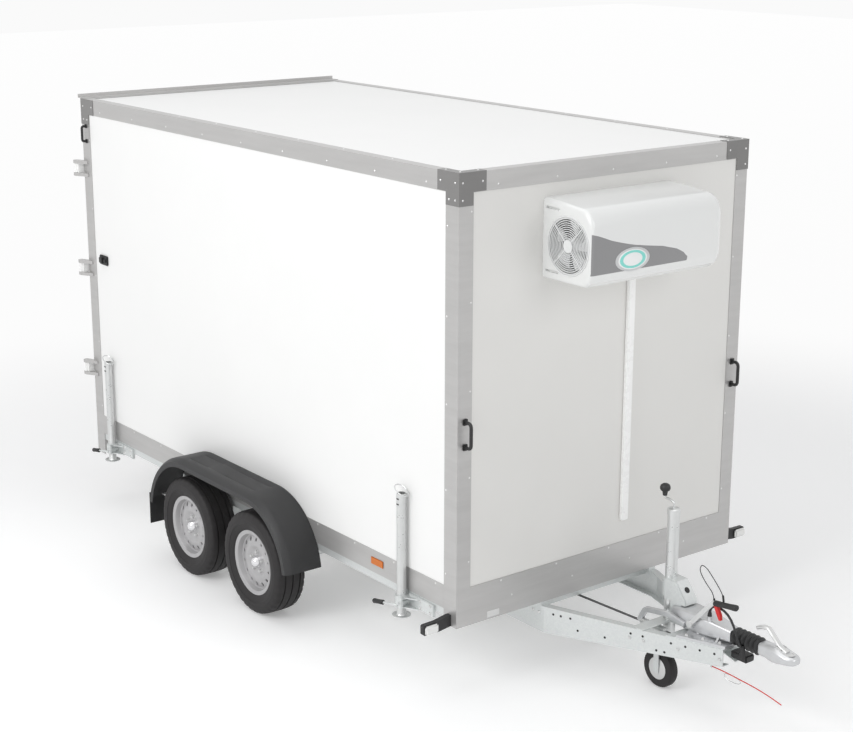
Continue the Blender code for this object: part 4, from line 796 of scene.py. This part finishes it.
# Jockey wheel: a bright clamped tube with a cranked handle under a black mushroom knob, a galvanised
# bracket on the drawbar's ties, and a black tyre on a grey hub that swivels in the fork below.
JOCKEY_X, JOCKEY_R, JOCKEY_BORE, JOCKEY_LOW, JOCKEY_HIGH = 2.36, 0.03, 0.0255, 0.3, 0.955
CRANK_X, CRANK_LEVEL, CRANK_BAR, COLLAR_R = 2.296, 0.992, 0.0055, 0.0325
JOCKEY_CAP = ((-0.03, JOCKEY_R), (-0.03, COLLAR_R), (-0.004, COLLAR_R), (0.0, 0.028), (0.004, 0.012),
              (0.004, 0.0), (-0.03, 0.0), (-0.03, JOCKEY_BORE))
CHEEK = ((2.362, 0.498), (2.498, 0.498), (2.498, 0.52), (2.432, 0.602), (2.362, 0.602))
CHEEK_FOOT = ((2.395, 0.3856), (2.47, 0.3856), (2.47, 0.5), (2.395, 0.5))
HOOD = ((2.498, 0.498), (2.503, 0.5), (2.503, 0.522), (2.436, 0.606), (2.362, 0.607), (2.362, 0.602),
        (2.432, 0.601), (2.498, 0.52))
CLAMP_BAND = ((0.508, JOCKEY_R + 0.0005), (0.508, 0.039), (0.592, 0.039), (0.592, JOCKEY_R + 0.0005))
KNOB = ((1.003, 0.0), (1.003, 0.011), (1.012, 0.012), (1.024, 0.014), (1.029, 0.022), (1.036, 0.026),
        (1.046, 0.0262), (1.056, 0.022), (1.062, 0.014), (1.0645, 0.0))
JOCKEY_AXIS = (JOCKEY_X - 0.045, 0, 0.1)
HALF_TREAD = ((0.014, 0.0998), (0.022, 0.096), (0.025, 0.088), (0.0245, 0.066), (0.025, 0.06),
              (0.025, 0.0095))
HUB = ((0.0252, 0.0095), (0.0252, 0.056), (0.0258, 0.057), (0.028, 0.05), (0.028, 0.03), (0.03, 0.022),
       (0.03, 0.0095))
outline = [(JOCKEY_LOW, JOCKEY_BORE), (JOCKEY_LOW, JOCKEY_R)]
outline += [(JOCKEY_HIGH + up, radius) for up, radius in JOCKEY_CAP]
jockey = Shape().turned(outline, (JOCKEY_X, 0, 0), "Z")
jockey.tube(rounded([(JOCKEY_X, 0, JOCKEY_HIGH), (JOCKEY_X, 0, 0.984), (JOCKEY_X - 0.03, 0, CRANK_LEVEL),
                     (CRANK_X, 0, CRANK_LEVEL), (CRANK_X, 0, 1.006)], 0.01), CRANK_BAR)
jockey.finish("jockey_tube_fine", TUBE_ZINC, "galvanised", ["jockey_tube"])
bracket = Shape().slab((JOCKEY_X - 0.034, -0.222, 0.3803), (JOCKEY_X + 0.034, 0.222, 0.3853), 0.001, 1)
for side in (-1, 1):
    bracket.plate(CHEEK, "Y", side * 0.037, side * 0.042).plate(CHEEK_FOOT, "Y", side * 0.032, side * 0.037)
bracket.plate(HOOD, "Y", -0.0368, 0.0368).turned(CLAMP_BAND, (JOCKEY_X, 0, 0), "Z", 40)
bracket.finish("jockey_bracket", GALVANISED, "galvanised")
# The bracket's hole is a flat dark disc of painted shade on the sloped face, not a cut.
slope_facing = (HOOD[3][1] - HOOD[2][1], 0, HOOD[2][0] - HOOD[3][0])
studs("jockey_bracket_hole", [((2.47, 0, 0.5645), slope_facing)], 0.0155, 0.0008, HOLE_SHADE,
      sides=24)
knob = Shape().turned(KNOB, (CRANK_X, 0, 0), "Z", 36)
knob.finish("jockey_knob", BLACK_PLASTIC, "black_plastic", smooth=60)
tread = [(-along, radius) for along, radius in reversed(HALF_TREAD)] + list(HALF_TREAD)
tyre = Shape().turned(tread, JOCKEY_AXIS, steps=56)
tyre.finish("jockey_tyre", TYRE_RUBBER, "rubber", ["jockey_wheel"], "jockey_roller")
hub = Shape().turned(HUB, JOCKEY_AXIS, steps=40).turned([(-a, r) for a, r in HUB], JOCKEY_AXIS, steps=40)
hub.finish("jockey_hub", ZINC, "rubber", body="jockey_roller")

# Coupling: an overrun housing cast as a faceted cone on a bolted foot, rubber bellows over the draw
# tube, and a cast ball head with its latch. Beside it the handbrake's flat lever with a black grip, the
# brake rod with its spring and strap, and the black holder where the plug is parked.
CAST = surface("cast_silver", (212, 213, 214), (196, 197, 199), 30, (0.26, 0.38), metallic=0.7, relief=0.0004)
BELLOWS = surface("bellows_rubber", (34, 34, 35), (26, 26, 27), 20, (0.35, 0.5))
AXIS_Z, HOUSING_LOW, HOUSING_HIGH, HEAD_LOW, HEAD_HIGH = 0.442, 2.42, 2.79, 2.96, 3.17
HOUSING_Y, HOUSING_Z, HEAD_Y, HEAD_Z, DRAW_R = 0.062, 0.052, 0.046, 0.039, 0.025
HOUSING_SHARES = ((0.0, 0.76), (0.02, 0.82), (0.2, 0.99), (0.24, 1.0), (0.52, 0.95), (0.58, 0.92),
                  (0.78, 0.76), (0.83, 0.72), (0.98, 0.61), (1.0, 0.58))
HEAD_SHARES = ((0.0, 0.7, 0.74), (0.03, 0.76, 0.84), (0.18, 0.74, 0.86), (0.3, 0.82, 0.98), (0.42, 0.92, 1.0),
               (0.56, 0.99, 0.9), (0.68, 1.0, 0.72), (0.8, 0.96, 0.6), (0.9, 0.82, 0.52), (0.96, 0.64, 0.46),
               (0.99, 0.48, 0.38), (1.0, 0.36, 0.28))
FOOT_BACK, FOOT_FRONT, FOOT_LOW, FOOT_HIGH = 2.55, 2.788, 0.3853, 0.3985
RIB = ((-0.06, 0.398), (0.06, 0.398), (0.04, 0.43), (-0.04, 0.43))
RIB_X, FOOT_BOLTS, LEVER_X, GLAND_PLACE = (2.6, 2.72), (2.585, 2.665, 2.745), 2.57, (2.66, -0.04, 0)
PIVOT_BOSS = ((-0.0697, 0.0), (-0.0697, 0.02), (-0.03, 0.026), (-0.03, 0.0))
GLAND = ((0.455, 0.0), (0.455, 0.0125), (0.492, 0.0115), (0.5047, 0.01), (0.5047, 0.0))


def faceted(x, half_y, half_z, corner=0.36, per_corner=3):
    """A ring of a cast body: a rectangle with broad rounded corners, seen along X."""
    reach_y, reach_z, ring = half_y * corner, half_z * corner, []
    for quarter, (sy, sz) in enumerate(((1, 1), (-1, 1), (-1, -1), (1, -1))):
        for i in range(per_corner + 1):
            angle = math.pi / 2 * (quarter + i / per_corner)
            ring.append((x, sy * (half_y - reach_y) + reach_y * math.cos(angle),
                         AXIS_Z + sz * (half_z - reach_z) + reach_z * math.sin(angle)))
    return ring


housing = Shape().skin([faceted(HOUSING_LOW + (HOUSING_HIGH - HOUSING_LOW) * along, HOUSING_Y * share,
                                HOUSING_Z * share) for along, share in HOUSING_SHARES])
back_y, front_y = arm_y(FOOT_BACK) - 0.004, arm_y(FOOT_FRONT) - 0.002
housing.plate([(FOOT_BACK, -back_y), (FOOT_FRONT, -front_y), (FOOT_FRONT, front_y), (FOOT_BACK, back_y)], "Z",
              FOOT_LOW, FOOT_HIGH)
for x in RIB_X:
    housing.plate(RIB, "X", x, x + 0.012)
housing.turned(PIVOT_BOSS, (LEVER_X, 0, AXIS_Z), steps=28).turned(GLAND, GLAND_PLACE, "Z", 24)
housing.finish("coupling_casting", CAST, "zinc", ["coupling_housing"], smooth=32)
heads = [((x, side * (arm_y(x) - 0.026), FOOT_HIGH), (0, 0, 1)) for x in FOOT_BOLTS for side in (-1, 1)]
studs("coupling_bolts", heads, 0.0095, 0.009, ZINC, sides=6)
FOLDS, FOLD_STEPS, BELLOWS_LOW, BELLOWS_HIGH, BELLOWS_END = 6, 48, 2.7905, 2.9595, 0.0265
outline = [(BELLOWS_LOW, BELLOWS_END)]
for i in range(FOLD_STEPS + 1):
    share = i / FOLD_STEPS
    wave = 0.5 - 0.5 * math.cos(math.tau * FOLDS * share)
    outline.append((BELLOWS_LOW + (BELLOWS_HIGH - BELLOWS_LOW) * share, 0.0305 + 0.014 * wave ** 0.8))
outline.append((BELLOWS_HIGH, BELLOWS_END))
bellows = Shape().turned(outline, (0, 0, AXIS_Z), "X", 44)
bellows.finish("coupling_bellows", BELLOWS, "rubber", ["coupling_gaiter"], smooth=50)
head = Shape().skin([faceted(HEAD_LOW + (HEAD_HIGH - HEAD_LOW) * along, HEAD_Y * wide, HEAD_Z * tall, 0.55, 5)
                     for along, wide, tall in HEAD_SHARES])
low, high = HOUSING_HIGH - 0.01, HEAD_LOW + 0.02
head.turned([(low, 0.0), (low, DRAW_R), (high, DRAW_R), (high, 0.0)], (0, 0, AXIS_Z), "X", 32)
head.finish("ball_head", CAST, "zinc", ["coupling_head"], smooth=45)


def bevelled(wide, deep, cut_off):
    """A flat section with its corners cut off."""
    right = [(wide - cut_off, -deep), (wide, cut_off - deep), (wide, deep - cut_off), (wide - cut_off, deep)]
    return right + [(-u, v) for u, v in reversed(right)]


LATCH = ((2.928, 0.532), (2.96, 0.545), (2.992, 0.548), (3.03, 0.515), (3.065, 0.483), (3.111, 0.468))
LATCH_EAR = ((3.04, 0.455), (3.095, 0.455), (3.085, 0.484), (3.05, 0.487))
NOSE_X, NOSE_U, NOSE_V = 3.12, 0.03, 0.026
NOSE_SHARES = ((0.465, 1.0), (0.4685, 1.0), (0.4688, 0.7), (0.466, 0.62))
latch = Shape().bar([(x, 0, z) for x, z in LATCH], bevelled(0.015, 0.008, 0.004))
for side in (-1, 1):
    latch.plate(LATCH_EAR, "Y", side * 0.018, side * 0.023)
latch.tube([(3.066, -0.03, 0.472), (3.066, 0.03, 0.472)], 0.006, 14)
latch.finish("head_latch", ZINC, "zinc")
# A lighter metal disc on top of the head's nose is a painted highlight for the bright spot there.
nose_glint = Shape().skin([[(NOSE_X + u * share, v * share, lift) for u, v in circle(28, NOSE_U, NOSE_V)]
                     for lift, share in NOSE_SHARES])
nose_glint.finish("nose_painted_highlight", RIVET_METAL, "zinc")
LEVER_Y, LEVER_HALF, LEVER_DEEP = -0.078, 0.0115, 0.004
LEVER_ROUTE = ((2.57, 0.442), (2.6, 0.476), (2.69, 0.577), (2.712, 0.6), (2.74, 0.606), (2.79, 0.613))
LEVER_EYE = ((0.0075, 0.0), (0.0075, 0.018), (-0.0082, 0.018), (-0.0082, 0.0))
GRIP_RINGS = ((2.722, 0.6025, 0.0125), (2.728, 0.603, 0.0155), (2.775, 0.61, 0.014), (2.822, 0.617, 0.0145),
              (2.85, 0.621, 0.016), (2.86, 0.6225, 0.015), (2.864, 0.623, 0.011))
BUTTON = ((2.722, 0.592), (2.744, 0.594), (2.766, 0.556), (2.77, 0.53), (2.758, 0.528), (2.738, 0.56))
flat = [(-LEVER_DEEP, -LEVER_HALF), (LEVER_DEEP, -LEVER_HALF), (LEVER_DEEP, LEVER_HALF),
        (-LEVER_DEEP, LEVER_HALF)]
lever = Shape().bar([(x, LEVER_Y, z) for x, z in LEVER_ROUTE], flat)
lever.turned(LEVER_EYE, (LEVER_X, LEVER_Y, AXIS_Z), steps=28)
lever.finish("handbrake_bar", ZINC, "zinc", ["handbrake_lever"])
grip = Shape().skin([[(x, LEVER_Y + u, z + v) for u, v in circle(20, r)] for x, z, r in GRIP_RINGS])
grip.finish("handbrake_grip", BLACK_PLASTIC, "black_plastic", smooth=50)
Shape().plate(BUTTON, "Y", LEVER_Y - 0.007, LEVER_Y + 0.007).finish("handbrake_button", RED_PLASTIC)
DARK_STEEL = surface("dark_steel", (104, 104, 104), (88, 88, 89), 20, (0.4, 0.5), metallic=0.5)
ROD_Y, ROD_Z = -0.072, 0.344
SPRING_TUBE = ((2.248, 0.0), (2.248, 0.0185), (2.256, 0.0195), (2.412, 0.0195), (2.42, 0.0185), (2.42, 0.0))
STRAP = ((2.228, ROD_Z), (2.266, 0.416), (2.418, 0.442), (2.533, 0.422))
rod = Shape().tube([(0.68, ROD_Y, 0.284), (2.248, ROD_Y, ROD_Z), (2.438, ROD_Y, ROD_Z)], 0.006)
rod.finish("brake_rod", DARK_STEEL, "galvanised")
Shape().turned(SPRING_TUBE, (0, ROD_Y, ROD_Z), "X", 32).finish("brake_spring_tube", TUBE_ZINC, "galvanised")
strap = Shape().bar(rounded([(x, ROD_Y, z) for x, z in STRAP], 0.02, 5), bevelled(0.01, 0.014, 0.003))
strap.finish("brake_strap", CAST, "zinc")
SOCKET_PLACE = (2.872, -0.034, 0)
HOLDER_NECK = ((0.37, 0.0), (0.37, 0.016), (0.392, 0.014), (0.3925, 0.0))
PLUG_SLEEVE = ((0.376, 0.0068), (0.376, 0.0145), (0.4, 0.0125), (0.42, 0.0085), (0.428, 0.0068))
GLAND_SLEEVE = ((0.505, 0.0068), (0.505, 0.0115), (0.52, 0.0095), (0.53, 0.0068))
LOOP_SLEEVES = (((2.711, -0.0665, 0.59), (-0.1, -0.05, 0.98)), ((2.768, -0.068, 0.6244), (-0.2, 0, 0.98)))
holder = Shape().slab((2.792, -0.03, 0.338), (2.892, 0.03, 0.375), 0.006)
holder.turned(HOLDER_NECK, SOCKET_PLACE, "Z", 24).finish("plug_holder", BLACK_PLASTIC, "black_plastic")
sleeves = Shape().turned(PLUG_SLEEVE, SOCKET_PLACE, "Z", 24).turned(GLAND_SLEEVE, GLAND_PLACE, "Z", 24)
for place, aim in LOOP_SLEEVES:
    base, lean = Vector(place), Vector(aim).normalized()
    sleeves.tube([base - lean * 0.004, base + lean * 0.028], 0.0052, 14)
sleeves.finish("cable_sleeves", BLACK_PLASTIC, "black_plastic")
ring = [(2.8385 + u, -0.06 - v * 0.004, 0.252 + v * 0.019) for u, v in circle(36, 0.052, 1.0)]
tip_ring = Shape().tube(ring, 0.0022, 8, True).slab((2.708, -0.076, 0.269), (2.72, -0.064, 0.296), 0.002)
tip_ring.finish("tip_ring", ZINC, "galvanised")

# Cooling unit: one light grey moulding on the front wall with a chin, a round brow and soft edges, a
# grey band across its front and a plain oval badge. The fan turns in a round pocket behind a wire guard
# on the right end, and two slots beside it let the air out.
UNIT_BACK, UNIT_FRONT, UNIT_LOW, UNIT_HIGH, UNIT_HALF = 1.862, 2.2, 2.065, 2.452, 0.44
CHIN_X, CHIN_Z, BROW, BROW_STEPS, TOP_FALL = 2.15, 2.135, 0.09, 10, 0.02
END_ROUNDS = ((-1, 0.02, 6), (1, 0.06, 8))
FAN_X, FAN_Z, POCKET_R, POCKET_FLOOR, POCKET_SHADE_UP = 2.0395, 2.245, 0.132, -0.37, 0.0015
VENT_LEVELS, VENT_X, VENT_HALF, VENT_DEPTH, PAST = (2.409, 2.108), (1.8835, 1.9735), 0.006, 0.012, 0.05


def cover_ring(y, inset):
    """The cover's outline at one y, drawn in from its outside by the inset."""
    front, low, high = UNIT_FRONT - inset, UNIT_LOW + inset, UNIT_HIGH - inset
    ring = [(UNIT_BACK, low), (CHIN_X - inset * 0.6, low), (CHIN_X + 0.03 - inset * 0.7, low + 0.022),
            (front - 0.006, CHIN_Z - 0.012), (front, CHIN_Z + 0.004)]
    for i in range(BROW_STEPS + 1):
        angle = math.pi / 2 * i / BROW_STEPS
        ring.append((front - BROW + BROW * math.cos(angle), high - TOP_FALL - BROW + BROW * math.sin(angle)))
    ring += [((front - BROW + UNIT_BACK) / 2, high - TOP_FALL * 0.35), (UNIT_BACK, high)]
    return [(x, y, z) for x, z in ring]


COVER_GREY = surface("unit_cover", (232, 233, 232), (229, 230, 229), 2, (0.2, 0.26), coat=0.5)
BAND_GREY, BAND_FACE = tone(138, 138, 139), UNIT_FRONT + BOX_X - 0.012
BAND_LEFT, BAND_RIGHT, BAND_LOW, BAND_HIGH = -0.436, 0.184, 2.128, 2.334
BAND_STOPS = ((0.0, 2.33), (0.19, 2.281), (0.43, 2.245), (0.73, 2.218), (0.88, 2.196), (0.96, 2.172),
              (1.0, 2.145))
tree = COVER_GREY.node_tree
shader = tree.nodes["Principled BSDF"]
plain_grey = Flow(tree, shader.inputs["Base Color"].links[0].from_socket)
split = node(tree, "ShaderNodeSeparateXYZ", {}, node(tree, "ShaderNodeTexCoord", output=3))
forward, across, up = [Flow(tree, socket) for socket in split.socket.node.outputs]
along = (across - BAND_LEFT) / (BAND_RIGHT - BAND_LEFT)
stops = [(at, ((z - BAND_LOW) / (BAND_HIGH - BAND_LOW),) * 3) for at, z in BAND_STOPS]
edge = node(tree, "ShaderNodeValToRGB", {"curve": "B_SPLINE", "stops": stops}, along)
height = (up - BAND_LOW) / (BAND_HIGH - BAND_LOW)
band = (height < node(tree, "ShaderNodeSeparateColor", {}, edge)) * (height > 0.0) * (along > 0.0)
band = band * (along < 1.0) * (forward > BAND_FACE)
tree.links.new(tint(tree, band, plain_grey, BAND_GREY).socket, shader.inputs["Base Color"])

stations = []
for end, reach, steps in END_ROUNDS:
    turns = [math.pi / 2 * i / steps for i in range(steps + 1)]
    rows = [(end * (UNIT_HALF - reach * (1 - math.cos(turn))), reach * (1 - math.sin(turn)))
            for turn in turns]
    stations += rows if end < 0 else reversed(rows)
cover = Shape().skin([cover_ring(y, inset) for y, inset in stations])
cover = cover.finish("unit_cover", COVER_GREY, "unit", ["cooling_cover"], smooth=30)
fan_middle, outside = (FAN_X, 0, FAN_Z), -UNIT_HALF - PAST
pocket = Shape().turned([(outside, 0.0), (outside, POCKET_R), (POCKET_FLOOR, POCKET_R), (POCKET_FLOOR, 0.0)],
                        fan_middle, steps=64)
for z in VENT_LEVELS:
    pocket.slab((VENT_X[0], outside, z - VENT_HALF), (VENT_X[1], VENT_DEPTH - UNIT_HALF, z + VENT_HALF))
cut(cover, pocket)
# The dark disc on the pocket's floor is painted shade for the depth of the pocket behind the fan.
POCKET_SHADE = surface("pocket_painted_shade", (66, 67, 69), (56, 57, 59), 12, (0.5, 0.65))
WIRE_GREY = surface("wire_grey", (232, 233, 233), (222, 223, 223), 20, (0.3, 0.4))
low, high = POCKET_FLOOR - POCKET_SHADE_UP, POCKET_FLOOR - 0.0003
outline = [(low, 0.012), (low, POCKET_R - 0.001), (high, POCKET_R - 0.001), (high, 0.012)]
Shape().turned(outline, fan_middle, steps=64).finish("pocket_floor_shade", POCKET_SHADE, "unit")

GUARD_Y, GUARD_RINGS, GUARD_FIRST, GUARD_LAST, SPOKE_REACH = -UNIT_HALF - 0.0022, 12, 0.03, 0.14, 0.143
guard = Shape()
for i in range(GUARD_RINGS):
    radius = GUARD_FIRST + (GUARD_LAST - GUARD_FIRST) * i / (GUARD_RINGS - 1)
    ring = [(FAN_X + u, GUARD_Y, FAN_Z + v) for u, v in circle(56, radius)]
    guard.tube(ring, 0.003 if i == GUARD_RINGS - 1 else 0.0024, 6, True)
for angle in (math.pi / 4, -math.pi / 4):
    reach = Vector((math.cos(angle), 0, math.sin(angle))) * SPOKE_REACH
    middle = Vector((FAN_X, GUARD_Y - 0.0015, FAN_Z))
    guard.tube([middle - reach, middle, middle + reach], 0.0026, 8)
low, high = GUARD_Y - 0.004, GUARD_Y + 0.0005
guard.turned([(low, 0.0), (low, 0.028), (high, 0.03), (high, 0.0)], fan_middle, steps=32)
guard.finish("fan_wire_guard", WIRE_GREY, "black_plastic", ["fan_guard"])
BLADE_GREY = surface("blade_grey", (236, 237, 237), (228, 229, 230), 20, (0.38, 0.5))
HUB_LOW, HUB_HIGH, HUB_R, SHAFT_R, SHAFT_Y = -0.4255, -0.3885, 0.036, 0.011, -0.4115
BLADES, BLADE_STEPS, BLADE_ROOT, BLADE_TIP, BLADE_THICK, BLADE_SWEEP = 5, 8, 0.033, 0.118, 0.0024, 0.3
blades = Shape().turned([(HUB_LOW, 0.0), (HUB_LOW, 0.03), (HUB_LOW + 0.005, HUB_R), (HUB_HIGH, HUB_R),
                         (HUB_HIGH, SHAFT_R), (SHAFT_Y, SHAFT_R), (SHAFT_Y, 0.0)], fan_middle, steps=36)
for blade in range(BLADES):
    rings = []
    for i in range(BLADE_STEPS + 1):
        share = i / BLADE_STEPS
        radius = BLADE_ROOT + (BLADE_TIP - BLADE_ROOT) * share
        half_angle = 0.42 * (0.55 + 0.6 * share - 0.28 * share ** 2)
        pitch = 0.0125 * (1 - 0.35 * share)
        ring = []
        for k in range(BLADE_STEPS + 1):
            t = k / BLADE_STEPS * 2 - 1
            angle = math.tau * blade / BLADES + BLADE_SWEEP * share + half_angle * t
            y = (HUB_LOW + HUB_HIGH) / 2 + pitch * t - BLADE_THICK / 2
            ring.append((FAN_X + radius * math.cos(angle), y, FAN_Z + radius * math.sin(angle)))
        rings.append(ring + [(x, y + BLADE_THICK, z) for x, y, z in reversed(ring)])
    blades.skin(rings)
blades.finish("fan_blades", BLADE_GREY, "black_plastic", ["fan_rotor"], "fan", 50)

BADGE_Y, BADGE_Z, BADGE_HALF_Y, BADGE_HALF_Z = -0.18, 2.18, 0.11, 0.056
BADGE_WHITE = surface("badge_white", (244, 245, 245), (238, 239, 239), 20, (0.2, 0.3), coat=0.3)
BADGE_RIM = surface("badge_rim", (206, 207, 208), (198, 199, 200), 20, (0.3, 0.4))
BADGE_RING = surface("badge_turquoise", (142, 224, 214), (130, 216, 206), 20, (0.3, 0.4))
BADGE_PARTS = (("badge_rim", BADGE_RIM, 1.0, 0.0016, 0.0), ("badge_disc", BADGE_WHITE, 0.84, 0.0022, 0.0),
               ("badge_ring", BADGE_RING, 0.76, 0.0026, 0.74))
for name, finish, size, lift, hole in BADGE_PARTS:
    low, high = UNIT_FRONT - 0.001, UNIT_FRONT + lift
    levels = [(low, 1.0), (high - 0.0006, 1.0), (high, 0.985)] + ([(high, hole), (low, hole)] if hole else [])
    rings = [[(x, BADGE_Y + u * share, BADGE_Z + v * share)
              for u, v in circle(64, BADGE_HALF_Y * size, BADGE_HALF_Z * size)] for x, share in levels]
    Shape().skin(rings, bool(hole)).finish(name, finish, "unit")

# Lamps, reflector and plate: clear position lamps on black rubber arms at the front corners, red tail
# lamps on the rear skirt, an orange reflector on each side skirt and a small blank plate at the front.
CLEAR = surface("clear_lens", (240, 240, 238), (228, 228, 226), 30, (0.08, 0.15), coat=0.6)
RED_LENS = surface("red_lens", (190, 24, 22), (165, 18, 18), 60, (0.1, 0.18), coat=0.6, relief=0.0006)
ORANGE = surface("orange_reflector", (210, 112, 0), (198, 102, 0), 90, (0.3, 0.4), coat=0.1, relief=0.0006)
LAMP_ARM = ((WALL_FACE, 0.404), (WALL_FACE, 0.462), (0.966, 0.462), (1.04, 0.449), (1.112, 0.447),
            (1.1173, 0.441), (1.1173, 0.401), (1.112, 0.395), (1.03, 0.393))
LAMP_SLABS = (("front_{}_lens", CLEAR, "painted", (1.8255, 1.0355, 0.398), (1.844, 1.1141, 0.444), 0.008, 3),
              ("rear_{}_lamp_case", BLACK_PLASTIC, "black_plastic", (-1.8653, 0.69, 0.356),
               (-1.882, 0.91, 0.456), 0.004, 2),
              ("rear_{}_lens", RED_LENS, None, (-1.8815, 0.694, 0.36), (-1.9003, 0.906, 0.452), 0.007, 3),
              ("{}_reflector", ORANGE, None, (1.169, WALL_FACE, 0.521), (1.272, 0.9545, 0.559), 0.002, 2))
for side, side_name in SIDES:
    arm = Shape(side).plate(LAMP_ARM, "X", 1.8, 1.826)
    arm.finish(f"front_{side_name}_lamp_arm", BLACK_PLASTIC, "black_plastic")
    for name, finish, slot, corner, opposite, edge, segments in LAMP_SLABS:
        Shape(side).slab(corner, opposite, edge, segments).finish(name.format(side_name), finish, slot)
plate = Shape().slab((1.8652, -0.758, 0.409), (1.8668, -0.681, 0.442), 0.0006, 1)
plate.finish("blank_plate", RIVET_METAL, "profile")
